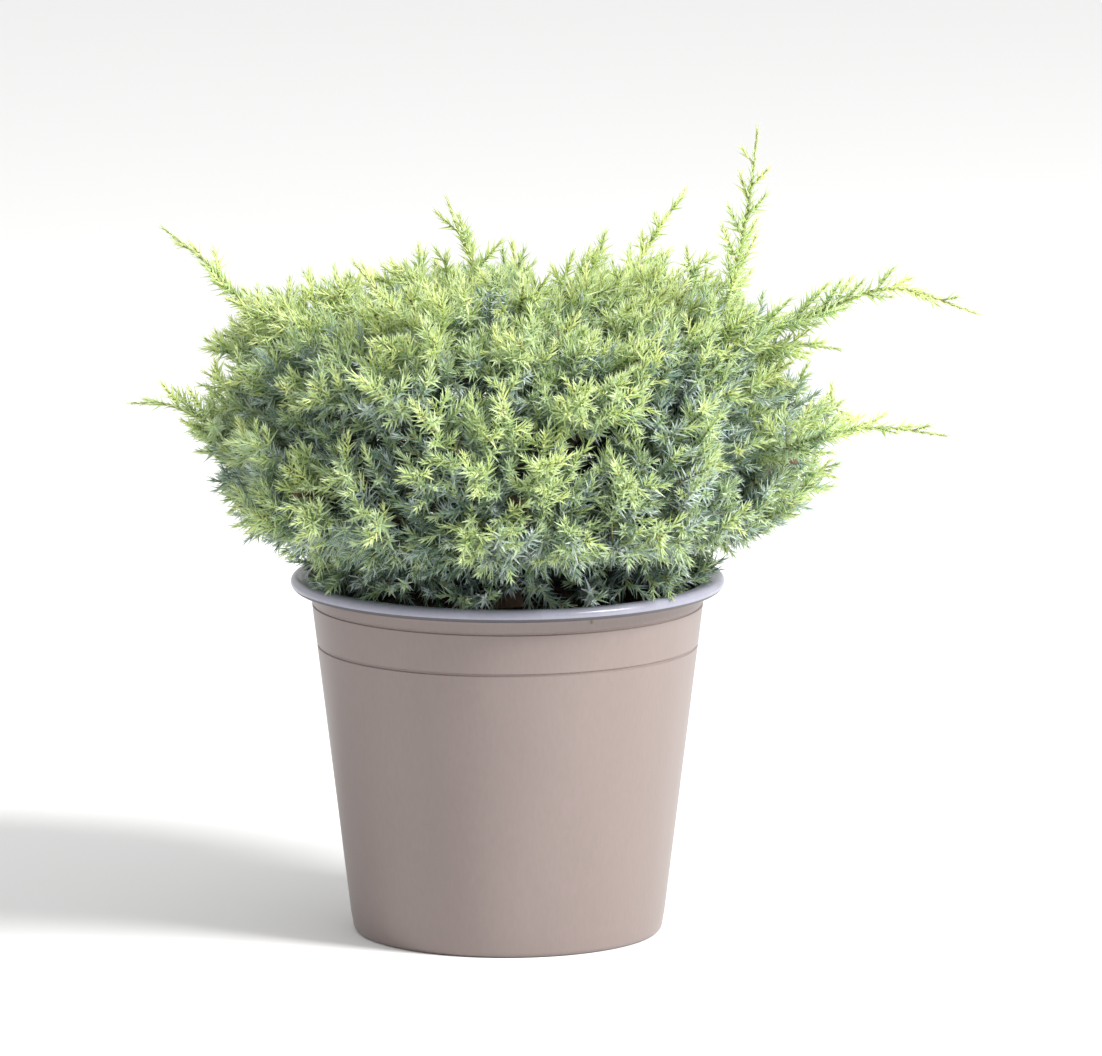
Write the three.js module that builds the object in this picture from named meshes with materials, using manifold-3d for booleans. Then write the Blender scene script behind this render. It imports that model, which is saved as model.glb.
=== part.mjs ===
// A potted flaky juniper: a low, dense, spreading conifer in a round nursery pot.
// Millimetres, +Z up. The origin is the centre of the pot's flat underside, +X is the side
// that the longest arching shoot leans to, and -Y is the front.
// The pot stands on its underside. A short trunk forks into boughs, each bough carries one mass
// of foliage, and each mass is twigs with whorls of three awl-shaped needles round a dense core.
import * as THREE from "three";
import { mergeVertices } from "three/addons/utils/BufferGeometryUtils.js";
import Module from "manifold-3d";

const wasm = await Module();
wasm.setup();

// Driving dimensions

const GAP = 0.3;
const RADIAL_SEGMENTS = 36;
// Corners closer together than this, which joins and cuts leave here and there, become one.
const SHORTEST_EDGE = 0.005;

const POT_HEIGHT = 108;
const POT_RIM_RADIUS = 65;
const POT_FOOT_RADIUS = 46.5;
const POT_DRAFT = 0.122;
const POT_WALL = 1.2;
const POT_FLOOR = 1.6;
const POT_MOUTH_RADIUS = 57;
const RIM_LINE_Z = 99.8;
const COLLAR_LINE_Z = 87.3;
const LINE_STEP = 0.5;

const DRAIN_HOLES = 8;
const DRAIN_HOLE_RADIUS = 3.2;
const DRAIN_CIRCLE_RADIUS = 36;

const SOIL_TOP_Z = 98;
const SOIL_FLAT_RADIUS = 34;
const SOIL_EDGE_DROP = 1.8;

const TRUNK_HEIGHT = 44;
const TRUNK_FLARE_RADIUS = 5.4;
const TRUNK_RADIUS = 3.5;
const TRUNK_TOP_RADIUS = 2.3;
const TRUNK_LEAN = new THREE.Vector3(4.5, 2, 0);
const TRUNK_SIDES = 8;

const BOUGH_BASE_RADIUS = 1.75;
const BOUGH_TIP_RADIUS = 1.25;
const BOUGH_SIDES = 5;
const STEM_TIP_RADIUS = 0.8;
const STEM_SIDES = 4;

// The crown is a flattened dome with full shoulders: its profile is a superellipse.
// Its half widths and its heights are measured from its centre.
const CROWN_CENTRE = new THREE.Vector3(-1, 0, POT_HEIGHT + 42);
const CROWN_HALF_WIDTH = 98;
const CROWN_HALF_DEPTH = 97;
const CROWN_RISE = 52;
const CROWN_DROP = 44;
const CROWN_SQUARENESS = 3;
// How far inside the dome a mass's dense core begins, has its middle and ends. On the crown's
// underside it begins at this smaller share of that depth.
const CORE_INSET = [19, 30, 60];
const UNDERSIDE_SHARE = 0.45;
const CORE_MARGIN = 1.2;
const CORE_CLEARANCE = 2;
const TUFT_HEIGHT = 9;
const TUFT_FACING = 0.45;

// How far twigs and needles keep from the pot and the soil, and from the limbs of other masses
const POT_CLEARANCE = 0.8;
const LIMB_CLEARANCE = 0.9;
const TIP_CLEARANCE = 1.5;

// The twigs' tips are this far apart and reach this share of the dome. A twig leaves its stem
// this share of its length behind its tip, and bends upwards on the way out.
const TIP_SPACING = 22;
const TIP_SHARE = 0.95;
const TWIG_BEND = 0.55;
const TIP_LIFT = new THREE.Vector3(0, 0, 0.35);
const LOWEST_TIP_ANGLE = THREE.MathUtils.degToRad(-48);
// The lowest twigs lie on the pot's rim, all the way round.
const SKIRT = { count: 26, radius: 59, height: 2 };

const TWIG = {
  radius: 1.5,
  needle: 9.2,
  lean: THREE.MathUtils.degToRad(38),
  spread: THREE.MathUtils.degToRad(60),
  band: 8,
  bands: 2,
};
const LEADER = {
  radius: 1.15,
  needle: 6.2,
  lean: THREE.MathUtils.degToRad(28),
  spread: THREE.MathUtils.degToRad(40),
  band: 9.5,
};

// Each ring of masses: how many, where the first one points, where its plume ends, how high the
// arch of its bough is, the share of that curve which is bough, and the two heights on the trunk,
// as shares of it, that its boughs leave from in turn.
const RINGS = [
  { name: "low", count: 8, turn: 0, plume: [84, 34], arch: [40, 34], bough: 0.45, foot: [0.16, 0.4] },
  { name: "mid", count: 6, turn: -12, plume: [60, 76], arch: [24, 46], bough: 0.66, foot: [0.74, 0.52] },
  { name: "top", count: 3, turn: 43, plume: [23, 86], arch: [19, 50], bough: 0.66, foot: [0.82, 1] },
];
const RING_JITTER = 7;
const SEED_REACH = 70;

// The long shoots that stand out of the crown: where each leaves it, a point half way, and its tip,
// as x, y and height above the rim.
const LEADERS = [
  [[84, -14, 78], [114, -17, 89], [139, -20, 82]],
  [[84, -30, 44], [109, -35, 50], [130, -38, 48]],
  [[72, -15, 71], [87, -17, 72], [99, -19, 71]],
  [[64, -18, 84], [71, -21, 112], [74, -23, 137]],
  [[-72, 30, 72], [-90, 38, 88], [-104, 46, 98]],
  [[-26, -46, 76], [-35, -53, 90], [-45, -58, 103]],
  [[34, 50, 76], [45, 66, 94], [54, 76, 106]],
  [[-87, -12, 46], [-100, -13, 53], [-112, -14, 54]],
  [[54, 72, 50], [68, 88, 58], [78, 100, 58]],
  [[-10, 8, 90], [-14, 10, 101], [-18, 10, 112]],
];
const LONG_LEADER = 36;
const LEADER_SPRIGS = [0.5, 0.72];
const SPRIG_LENGTH = 13;
const SPRIG_SPREAD = THREE.MathUtils.degToRad(38);

// A point given by its turn round the pot, its distance from the axis and its height above the rim

function aroundPot(turn, radius, above) {
  return new THREE.Vector3(Math.cos(turn) * radius, Math.sin(turn) * radius, POT_HEIGHT + above);
}

// Seeded numbers between 0 and 1 that do not depend on the order in which pieces are made

function seeded(...keys) {
  let state = 12345;
  for (const key of keys) {
    state = (1664525 * (state + key * 7919) + 1013904223) % 4294967296;
  }
  return () => {
    state = (1664525 * state + 1013904223) % 4294967296;
    return state / 4294967296;
  };
}

function spread(random, reach) {
  return (2 * random() - 1) * reach;
}

// From three.js geometry to a solid for joins and cuts, and back

function solidFrom(positions, indices) {
  return new wasm.Manifold(
    new wasm.Mesh({
      numProp: 3,
      vertProperties: new Float32Array(positions),
      triVerts: new Uint32Array(indices),
    }),
  );
}

function solidOfGeometry(geometry) {
  const bare = new THREE.BufferGeometry().setAttribute("position", geometry.getAttribute("position"));
  bare.setIndex(geometry.index);
  const merged = mergeVertices(bare, 1e-3);
  return solidFrom(merged.attributes.position.array, merged.index.array);
}

// The largest closed surface alone: loose scraps go, and a hollow that joining sealed is filled

function largestBody(solid) {
  return solid.decompose().reduce((a, b) => (b.volume() > a.volume() ? b : a));
}

function welded(solid) {
  const mesh = solid.getMesh();
  const corners = [];
  const cornerOf = [];
  for (let i = 0; i < mesh.vertProperties.length; i += 3) {
    const point = new THREE.Vector3().fromArray(mesh.vertProperties, i);
    const known = corners.findIndex((corner) => corner.distanceTo(point) < SHORTEST_EDGE);
    cornerOf.push(known < 0 ? corners.push(point) - 1 : known);
  }
  const indices = [];
  for (let i = 0; i < mesh.triVerts.length; i += 3) {
    const face = Array.from(mesh.triVerts.slice(i, i + 3), (index) => cornerOf[index]);
    if (new Set(face).size === 3) indices.push(...face);
  }
  return solidFrom(corners.flatMap((corner) => corner.toArray()), indices);
}

function geometryOfSolid(solid) {
  const mesh = solid.getMesh();
  const geometry = new THREE.BufferGeometry();
  geometry.setAttribute("position", new THREE.BufferAttribute(new Float32Array(mesh.vertProperties), 3));
  geometry.setIndex(new THREE.BufferAttribute(new Uint32Array(mesh.triVerts), 1));
  geometry.computeVertexNormals();
  return geometry;
}

// Round pieces: a profile of [radius, height] points turned about Z

function turned(profile) {
  const points = profile.map(([radius, height]) => new THREE.Vector2(radius, height));
  const geometry = new THREE.LatheGeometry(points, RADIAL_SEGMENTS);
  geometry.rotateX(Math.PI / 2);
  return geometry;
}

function potRadiusAt(height) {
  return POT_FOOT_RADIUS + POT_DRAFT * height;
}

function potSolid() {
  const beadOuter = POT_RIM_RADIUS;
  const beadInner = potRadiusAt(POT_HEIGHT) - 0.6;
  const profile = [
    [0, 0],
    [POT_FOOT_RADIUS - 2.2, 0],
    [POT_FOOT_RADIUS - 0.5, 0.7],
    [potRadiusAt(2.6), 2.6],
    [potRadiusAt(COLLAR_LINE_Z) - LINE_STEP, COLLAR_LINE_Z - 0.6],
    [potRadiusAt(COLLAR_LINE_Z), COLLAR_LINE_Z],
    [potRadiusAt(RIM_LINE_Z), RIM_LINE_Z],
    [potRadiusAt(RIM_LINE_Z) + LINE_STEP, RIM_LINE_Z + 0.5],
    [beadInner + 1.9, POT_HEIGHT - 3.6],
    [beadOuter - 0.7, POT_HEIGHT - 3.8],
    [beadOuter, POT_HEIGHT - 2.9],
    [beadOuter, POT_HEIGHT - 1.7],
    [beadOuter - 1.1, POT_HEIGHT - 0.5],
    [beadOuter - 2.7, POT_HEIGHT],
    [beadInner + 0.8, POT_HEIGHT - 0.4],
    [beadInner, POT_HEIGHT - 1.6],
    [potRadiusAt(RIM_LINE_Z) - POT_WALL, RIM_LINE_Z - 1],
    [potRadiusAt(POT_FLOOR) - POT_WALL, POT_FLOOR + 1],
    [POT_FOOT_RADIUS - 2.8, POT_FLOOR],
    [0, POT_FLOOR],
  ];
  let pot = solidOfGeometry(turned(profile));
  for (let i = 0; i < DRAIN_HOLES; i++) {
    const angle = ((i + 0.5) / DRAIN_HOLES) * 2 * Math.PI;
    const drill = new THREE.CylinderGeometry(DRAIN_HOLE_RADIUS, DRAIN_HOLE_RADIUS, 8, 10);
    drill.rotateX(Math.PI / 2);
    drill.translate(Math.cos(angle) * DRAIN_CIRCLE_RADIUS, Math.sin(angle) * DRAIN_CIRCLE_RADIUS, 0);
    pot = pot.subtract(solidOfGeometry(drill));
  }
  return pot;
}

function soilGeometry() {
  const innerAt = (height) => potRadiusAt(height) - POT_WALL - GAP;
  const edgeZ = SOIL_TOP_Z - SOIL_EDGE_DROP;
  return turned([
    [0, POT_FLOOR + GAP],
    [POT_FOOT_RADIUS - 3.6, POT_FLOOR + GAP],
    [innerAt(POT_FLOOR + 1.4), POT_FLOOR + 1.6],
    [innerAt(edgeZ), edgeZ],
    [SOIL_FLAT_RADIUS, SOIL_TOP_Z],
    [0, SOIL_TOP_Z],
  ]);
}

// Tapering limbs and needled shoots. Both are rings of points along a path, carried without twist.

function ringsAlong(curve, stations) {
  const rings = [];
  let side = null;
  for (const t of stations) {
    const centre = curve.getPoint(t);
    const along = curve.getTangent(t).normalize();
    if (!side) {
      const away = Math.abs(along.z) < 0.9 ? new THREE.Vector3(0, 0, 1) : new THREE.Vector3(1, 0, 0);
      side = new THREE.Vector3().crossVectors(away, along);
    }
    side.addScaledVector(along, -side.dot(along)).normalize();
    const other = new THREE.Vector3().crossVectors(along, side);
    rings.push({ centre, along, side: side.clone(), other });
  }
  return rings;
}

function ringPoint(ring, radius, angle) {
  return ring.centre
    .clone()
    .addScaledVector(ring.side, Math.cos(angle) * radius)
    .addScaledVector(ring.other, Math.sin(angle) * radius);
}

function evenStations(from, to, steps) {
  return Array.from({ length: steps + 1 }, (_, i) => from + ((to - from) * i) / steps);
}

function limbSolid(curve, stations, radii, sides) {
  const rings = ringsAlong(curve, stations);
  const positions = [];
  const indices = [];
  rings.forEach((ring, k) => {
    for (let j = 0; j < sides; j++) {
      positions.push(...ringPoint(ring, radii[k], (2 * Math.PI * j) / sides).toArray());
    }
  });
  for (let k = 0; k + 1 < rings.length; k++) {
    for (let j = 0; j < sides; j++) {
      const a = k * sides + j;
      const b = k * sides + ((j + 1) % sides);
      indices.push(a, b, b + sides, a, b + sides, a + sides);
    }
  }
  const last = (rings.length - 1) * sides;
  for (let j = 1; j + 1 < sides; j++) {
    indices.push(0, j + 1, j);
    indices.push(last, last + j, last + j + 1);
  }
  return solidFrom(positions, indices);
}

// A shoot has a three-sided core whose rings turn by 60 degrees from one to the next, so that each
// band between two rings has three faces that point up the shoot and three that point down it.
// A needle is such a face drawn out to a point, which puts the needles in whorls of three as the
// real ones are: the first three of a band lean along the shoot and the next three, on the outer
// bands only, stand out more.
// A needle that keep(root, apex) refuses stays a flat face.

function shootSolid(curve, stations, style, keep) {
  const rings = ringsAlong(curve, stations);
  const corner = rings.map((ring, k) => {
    const radius = style.radius * (1 - 0.45 * (k / rings.length));
    const turn = (k % 2) * (Math.PI / 3);
    return [0, 1, 2].map((j) => ringPoint(ring, radius, (j * 2 * Math.PI) / 3 + turn));
  });
  const positions = corner.flat().flatMap((p) => p.toArray());
  const indices = [0, 2, 1];
  const addPoint = (p) => positions.push(...p.toArray()) / 3 - 1;
  const addFace = (k, face, lean, length, bare) => {
    const root = new THREE.Vector3();
    for (const index of face) {
      root.addScaledVector(new THREE.Vector3().fromArray(positions, 3 * index), 1 / 3);
    }
    const { centre, along } = rings[k];
    const out = root.clone().sub(centre);
    out.addScaledVector(along, -out.dot(along)).normalize();
    const apex = root
      .clone()
      .addScaledVector(out, length * Math.sin(lean))
      .addScaledVector(along, length * Math.cos(lean));
    if (!bare && keep(root, apex)) {
      const tip = addPoint(apex);
      face.forEach((index, i) => indices.push(index, face[(i + 1) % 3], tip));
    } else {
      indices.push(...face);
    }
  };
  for (let k = 0; k + 1 < rings.length; k++) {
    for (let j = 0; j < 3; j++) {
      const a = 3 * k + j;
      const b = 3 * k + ((j + 1) % 3);
      const ahead = 3 * (k + 1) + (k % 2 ? (j + 1) % 3 : j);
      const aheadNext = 3 * (k + 1) + (k % 2 ? (j + 2) % 3 : (j + 1) % 3);
      addFace(k, [a, b, ahead], style.lean, style.needle, k < 1);
      addFace(k, [b, aheadNext, ahead], style.spread, 0.85 * style.needle, k < 2);
    }
  }
  const lastRing = rings.at(-1);
  const blunt = lastRing.centre.clone().addScaledVector(lastRing.along, 0.5);
  const end = lastRing.centre.clone().addScaledVector(lastRing.along, 0.8 * style.needle);
  const endTip = addPoint(keep(blunt, end) ? end : blunt);
  const last = 3 * (rings.length - 1);
  for (let j = 0; j < 3; j++) indices.push(last + j, last + ((j + 1) % 3), endTip);
  return solidFrom(positions, indices);
}

// The crown's dome, with shallow lumps so that its outline is uneven

function lumpAt(direction) {
  const angle = Math.atan2(direction.y, direction.x);
  return 1 + 0.045 * Math.sin(3 * angle + 0.8) + 0.03 * Math.sin(5 * angle - 2 * direction.z);
}

function crownStretch(direction) {
  const level = Math.hypot(direction.x, direction.y) ** CROWN_SQUARENESS;
  const steep = Math.abs(direction.z) ** CROWN_SQUARENESS;
  return lumpAt(direction) / (level + steep) ** (1 / CROWN_SQUARENESS);
}

function crownPoint(direction, share) {
  const rise = direction.z > 0 ? CROWN_RISE : CROWN_DROP;
  const scale = share * crownStretch(direction);
  return new THREE.Vector3(
    CROWN_CENTRE.x + direction.x * CROWN_HALF_WIDTH * scale,
    CROWN_CENTRE.y + direction.y * CROWN_HALF_DEPTH * scale,
    CROWN_CENTRE.z + direction.z * rise * scale,
  );
}

// How far inside the dome a point is, along the line from the crown's centre

function crownInset(point) {
  const rise = point.z > CROWN_CENTRE.z ? CROWN_RISE : CROWN_DROP;
  const scaled = new THREE.Vector3(
    (point.x - CROWN_CENTRE.x) / CROWN_HALF_WIDTH,
    (point.y - CROWN_CENTRE.y) / CROWN_HALF_DEPTH,
    (point.z - CROWN_CENTRE.z) / rise,
  );
  const depth = scaled.length();
  return point.distanceTo(CROWN_CENTRE) * (crownStretch(scaled.divideScalar(depth)) / depth - 1);
}

// Foliage stays above the rim, or above the soil inside it

function clearOfPot(point, margin = POT_CLEARANCE) {
  const inside = Math.hypot(point.x, point.y) < POT_MOUTH_RADIUS - margin;
  return point.z > (inside ? SOIL_TOP_Z : POT_HEIGHT) + margin;
}

// The trunk and the plan of the boughs and masses

const trunkFoot = new THREE.Vector3(0, 0, SOIL_TOP_Z + GAP);
const trunkCurve = new THREE.QuadraticBezierCurve3(
  trunkFoot,
  trunkFoot.clone().add(new THREE.Vector3(-1, 0.5, TRUNK_HEIGHT * 0.5)),
  trunkFoot.clone().add(TRUNK_LEAN).add(new THREE.Vector3(0, 0, TRUNK_HEIGHT)),
);
const TRUNK_STATIONS = [0, 0.06, 0.16, 0.4, 0.7, 1];

function trunkRadii(extra = 0) {
  return TRUNK_STATIONS.map((t) => {
    const flare = (TRUNK_FLARE_RADIUS - TRUNK_RADIUS) * Math.max(0, 1 - t / 0.16) ** 2;
    return TRUNK_RADIUS + (TRUNK_TOP_RADIUS - TRUNK_RADIUS) * t + flare + extra;
  });
}

function trunkSolid(extra = 0) {
  return limbSolid(trunkCurve, TRUNK_STATIONS, trunkRadii(extra), TRUNK_SIDES);
}

const trunkSpace = trunkSolid(GAP + 0.1);

function planMasses() {
  const plans = [];
  RINGS.forEach((ring, ringIndex) => {
    for (let i = 0; i < ring.count; i++) {
      const random = seeded(ringIndex + 1, i + 1);
      const turn = ring.turn + (360 * i) / ring.count + spread(random, RING_JITTER);
      const angle = THREE.MathUtils.degToRad(turn);
      const reach = ring.plume[0] * (1 + spread(random, 0.04));
      const height = ring.plume[1] + spread(random, 3);
      const curve = new THREE.QuadraticBezierCurve3(
        trunkCurve.getPoint(ring.foot[i % 2]),
        aroundPot(angle, ring.arch[0], ring.arch[1]),
        aroundPot(angle, reach, height),
      );
      const seed = curve.getPoint(1).sub(CROWN_CENTRE).setLength(SEED_REACH).add(CROWN_CENTRE);
      const backwards = evenStations(1, 0, 100).map((t) => curve.getPoint(t));
      const centre = backwards.find((point) => crownInset(point) > CORE_INSET[1]);
      plans.push({ name: `${ring.name}_${i + 1}`, curve, entry: ring.bough, seed, centre });
    }
  });
  return plans;
}

const masses = planMasses();

// A mass owns the points that are nearer to its seed than to any other seed, less half the gap.
// All seeds are as far from the crown's centre, so that the spaces are wedges that meet there.

function insideCell(point, mass, margin = GAP / 2) {
  for (const other of masses) {
    if (other === mass) continue;
    const towards = other.seed.clone().sub(mass.seed);
    const middle = mass.seed.clone().add(other.seed).multiplyScalar(0.5);
    if (point.clone().sub(middle).dot(towards) / towards.length() > -margin) return false;
  }
  return true;
}

function owner(point) {
  return masses.reduce((best, mass) =>
    mass.seed.distanceTo(point) < best.seed.distanceTo(point) ? mass : best,
  );
}

// Limbs as chains of points, which foliage keeps clear of

const limbChains = [
  { points: evenStations(0, 1, 6).map((t) => trunkCurve.getPoint(t)), radius: TRUNK_RADIUS + 0.6 },
  ...masses.map((mass) => ({
    points: evenStations(0, mass.entry, 6).map((t) => mass.curve.getPoint(t)),
    radius: BOUGH_BASE_RADIUS,
  })),
];

function clearOfLimbs(point, clearance = LIMB_CLEARANCE) {
  const nearest = new THREE.Vector3();
  return limbChains.every(({ points, radius }) =>
    points.slice(1).every((end, i) => {
      new THREE.Line3(points[i], end).closestPointToPoint(point, true, nearest);
      return nearest.distanceTo(point) > radius + clearance;
    }),
  );
}

// The tips of the crown's twigs lie in rings over the dome, evenly spaced down its profile and
// round it, and each belongs to the mass around it

function planTips() {
  const tips = [];
  const profile = evenStations(Math.PI / 2, LOWEST_TIP_ANGLE, 120).map((rise) =>
    crownPoint(new THREE.Vector3(Math.cos(rise), 0, Math.sin(rise)), TIP_SHARE),
  );
  let travelled = 0.6 * TIP_SPACING;
  let ring = 0;
  for (let i = 1; i < profile.length; i++) {
    travelled += profile[i].distanceTo(profile[i - 1]);
    if (travelled < TIP_SPACING) continue;
    travelled -= TIP_SPACING;
    ring += 1;
    const level = profile[i].clone().sub(CROWN_CENTRE);
    const count = Math.max(3, Math.round((2 * Math.PI * level.x) / TIP_SPACING));
    for (let j = 0; j < count; j++) {
      const random = seeded(9, ring, j + 1);
      const turn = ((j + 0.5 * (ring % 2) + spread(random, 0.22)) / count) * 2 * Math.PI;
      const rise = level.z > 0 ? CROWN_RISE : CROWN_DROP;
      const direction = new THREE.Vector3(
        (Math.cos(turn) * level.x) / CROWN_HALF_WIDTH,
        (Math.sin(turn) * level.x) / CROWN_HALF_WIDTH,
        level.z / rise + spread(random, 0.08),
      ).normalize();
      const tip = crownPoint(direction, TIP_SHARE + spread(random, 0.06));
      const mass = owner(tip);
      while (!insideCell(tip, mass, 2 * TWIG.radius)) tip.lerp(mass.centre, 0.04);
      if (clearOfPot(tip, TIP_CLEARANCE)) tips.push({ tip, mass, stagger: random() });
    }
  }
  for (let i = 0; i < SKIRT.count; i++) {
    const random = seeded(11, i + 1);
    const turn = ((i + spread(random, 0.25)) / SKIRT.count) * 2 * Math.PI;
    const tip = aroundPot(turn, SKIRT.radius + spread(random, 4), SKIRT.height);
    tips.push({ tip, mass: owner(tip), stagger: random() });
  }
  return tips;
}

function boughSolid(mass, extra = 0) {
  const end = mass.entry + extra / mass.curve.getLength();
  const radii = evenStations(BOUGH_BASE_RADIUS + extra, BOUGH_TIP_RADIUS + extra, 4);
  return limbSolid(mass.curve, evenStations(0, end, 4), radii, BOUGH_SIDES);
}

// A twig leaves its mass's stem behind the point nearest to its tip and bends out to the tip. Its
// stagger keeps it from starting just where another twig does.

function twigCurve({ mass, tip, stagger }) {
  const first = mass.entry + 0.06;
  const choices = evenStations(first, 0.98, 12);
  const distance = (t) => mass.curve.getPoint(t).distanceTo(tip);
  const nearest = choices.reduce((best, t) => (distance(t) < distance(best) ? t : best));
  const leave = Math.max(first, nearest - (TWIG_BEND * distance(nearest)) / mass.curve.getLength());
  const start = mass.curve.getPoint(leave + 0.04 * stagger);
  const outward = tip.clone().sub(CROWN_CENTRE).normalize().add(TIP_LIFT).normalize();
  const bend = tip.clone().addScaledVector(outward, -TWIG_BEND * start.distanceTo(tip));
  return new THREE.QuadraticBezierCurve3(start, bend, tip);
}

// The rings of a shoot: one at its root, then one for each band of needles up to near its tip

function shootStations(curve, style) {
  const length = curve.getLength();
  const end = 1 - (0.6 * style.needle) / length;
  const bands = Math.min(style.bands, Math.floor((0.88 * end * length) / style.band));
  return [0, ...evenStations(end - (bands * style.band) / length, end, Math.max(1, bands))];
}

// A mass's core is a lumpy ball round its stem, as large as its space and the limbs leave it

function inCore(point, mass) {
  const inset = crownInset(point);
  const below = THREE.MathUtils.clamp((CROWN_CENTRE.z - point.z) / CROWN_DROP, 0, 1);
  return (
    inset > CORE_INSET[0] * THREE.MathUtils.lerp(1, UNDERSIDE_SHARE, below) &&
    inset < CORE_INSET[2] &&
    insideCell(point, mass, CORE_MARGIN) &&
    clearOfLimbs(point, CORE_CLEARANCE) &&
    clearOfPot(point, CORE_CLEARANCE)
  );
}

function coreSolid(mass, random) {
  const block = new THREE.BoxGeometry(2, 2, 2, 2, 2, 2);
  block.deleteAttribute("normal");
  block.deleteAttribute("uv");
  block.rotateZ(Math.atan2(mass.centre.y, mass.centre.x));
  const merged = mergeVertices(block, 1e-4);
  const place = merged.attributes.position;
  for (let i = 0; i < place.count; i++) {
    const direction = new THREE.Vector3().fromBufferAttribute(place, i).normalize();
    const point = mass.centre.clone().addScaledVector(direction, 3);
    while (inCore(point.clone().add(direction), mass)) point.add(direction);
    point.lerp(mass.centre, 0.08 * random());
    place.setXYZ(i, ...point.toArray());
  }
  const positions = [...place.array];
  const indices = [];
  const faces = merged.index.array;
  for (let i = 0; i < faces.length; i += 3) {
    const face = [...faces.slice(i, i + 3)];
    const triangle = new THREE.Triangle(
      ...face.map((index) => new THREE.Vector3().fromBufferAttribute(place, index)),
    );
    const middle = triangle.getMidpoint(new THREE.Vector3());
    const outward = middle.clone().sub(CROWN_CENTRE).normalize();
    const apex = middle.clone().addScaledVector(outward, TUFT_HEIGHT);
    const outermost =
      crownInset(middle) < CORE_INSET[0] + TUFT_HEIGHT &&
      triangle.getNormal(new THREE.Vector3()).dot(outward) > TUFT_FACING;
    if (outermost && insideCell(apex, mass, CORE_MARGIN) && clearOfPot(apex, TIP_CLEARANCE)) {
      const tip = positions.push(...apex.toArray()) / 3 - 1;
      face.forEach((index, k) => indices.push(index, face[(k + 1) % 3], tip));
    } else {
      indices.push(...face);
    }
  }
  return solidFrom(positions, indices);
}

function massSolid(mass, tips, leaders) {
  const keep = (root, apex) =>
    !inCore(root, mass) &&
    [root, apex].every((point) => insideCell(point, mass) && clearOfPot(point) && clearOfLimbs(point));
  const stemStart = mass.entry + GAP / mass.curve.getLength();
  const stemRadii = [BOUGH_TIP_RADIUS, 0.5 * (BOUGH_TIP_RADIUS + STEM_TIP_RADIUS), STEM_TIP_RADIUS];
  let solid = limbSolid(mass.curve, evenStations(stemStart, 1, 2), stemRadii, STEM_SIDES);
  const core = coreSolid(mass, seeded(5, masses.indexOf(mass)));
  solid = solid.add(core.subtract(trunkSpace).subtract(boughSolid(mass, GAP)));
  for (const tip of tips) {
    const curve = twigCurve(tip);
    const stations = shootStations(curve, TWIG);
    if (!stations.every((t) => insideCell(curve.getPoint(t), mass, TWIG.radius + GAP / 2))) continue;
    if (!stations.every((t) => clearOfLimbs(curve.getPoint(t), TWIG.radius + 0.2))) continue;
    solid = solid.add(shootSolid(curve, stations, TWIG, keep));
  }
  for (const { curve, free } of leaders) {
    const style = { ...LEADER, bands: Math.round(free / LEADER.band) };
    solid = solid.add(shootSolid(curve, shootStations(curve, style), style, keep));
    for (const sprig of free > LONG_LEADER ? sprigCurves(curve) : []) {
      solid = solid.add(shootSolid(sprig, [0, 0.25, 0.7], LEADER, keep));
    }
  }
  return solid;
}

// A leader starts inside the mass that it leaves and arches to its tip

function leaderCurve(points, mass) {
  const [from, middle, tip] = points.map(([x, y, above]) => new THREE.Vector3(x, y, POT_HEIGHT + above));
  const start = mass.curve.getPoint(0.96);
  const curve = new THREE.CatmullRomCurve3([start, from, middle, tip], false, "centripetal");
  return { curve, free: from.distanceTo(tip) };
}

// Short side sprigs leave a leader to alternate sides and turn up a little

function sprigCurves(leader) {
  return LEADER_SPRIGS.map((t, i) => {
    const start = leader.getPointAt(t);
    const along = leader.getTangentAt(t);
    const sideways = new THREE.Vector3(0, 0, 1).cross(along).normalize();
    const out = sideways.multiplyScalar(i % 2 ? 1 : -1).add(new THREE.Vector3(0, 0, 0.6)).normalize();
    const direction = along
      .multiplyScalar(Math.cos(SPRIG_SPREAD))
      .addScaledVector(out, Math.sin(SPRIG_SPREAD));
    const tip = start.clone().addScaledVector(direction, SPRIG_LENGTH * (1 - 0.2 * i));
    const bend = start.clone().lerp(tip, 0.5).add(new THREE.Vector3(0, 0, -0.8));
    return new THREE.QuadraticBezierCurve3(start, bend, tip);
  });
}

// Materials and the group

const finish = (color, roughness) => new THREE.MeshStandardMaterial({ color, roughness, metalness: 0 });
const potFinish = finish(0x8f8079, 0.42);
const soilFinish = finish(0x2a1f18, 0.95);
const barkFinish = finish(0x5d4632, 0.88);
const foliageFinish = finish(0x7fa653, 0.7);

const juniper = new THREE.Group();

function addMesh(name, geometry, material) {
  const mesh = new THREE.Mesh(geometry, material);
  mesh.name = name;
  juniper.add(mesh);
}

addMesh("pot", geometryOfSolid(potSolid()), potFinish);
addMesh("soil", soilGeometry(), soilFinish);

addMesh("trunk", geometryOfSolid(trunkSolid()), barkFinish);

for (const mass of masses) {
  addMesh(`bough_${mass.name}`, geometryOfSolid(boughSolid(mass).subtract(trunkSpace)), barkFinish);
}

const tips = planTips();
const leadersOf = new Map(masses.map((mass) => [mass, []]));
for (const points of LEADERS) {
  const [x, y, above] = points[2];
  const mass = owner(new THREE.Vector3(x, y, POT_HEIGHT + above));
  leadersOf.get(mass).push(leaderCurve(points, mass));
}
for (const mass of masses) {
  const own = tips.filter((tip) => tip.mass === mass);
  const solid = largestBody(welded(massSolid(mass, own, leadersOf.get(mass))));
  addMesh(`foliage_${mass.name}`, geometryOfSolid(solid), foliageFinish);
}

export default juniper;
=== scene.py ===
# A potted flaky juniper in its finished looks: fine shoots with whorls of three needles, bark,
# peat and a nursery pot. Places are worked out in millimetres in the part's own frame: the origin
# is the centre of the pot's underside, +Z is up and -Y is the front.
import math
from collections import namedtuple

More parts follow.
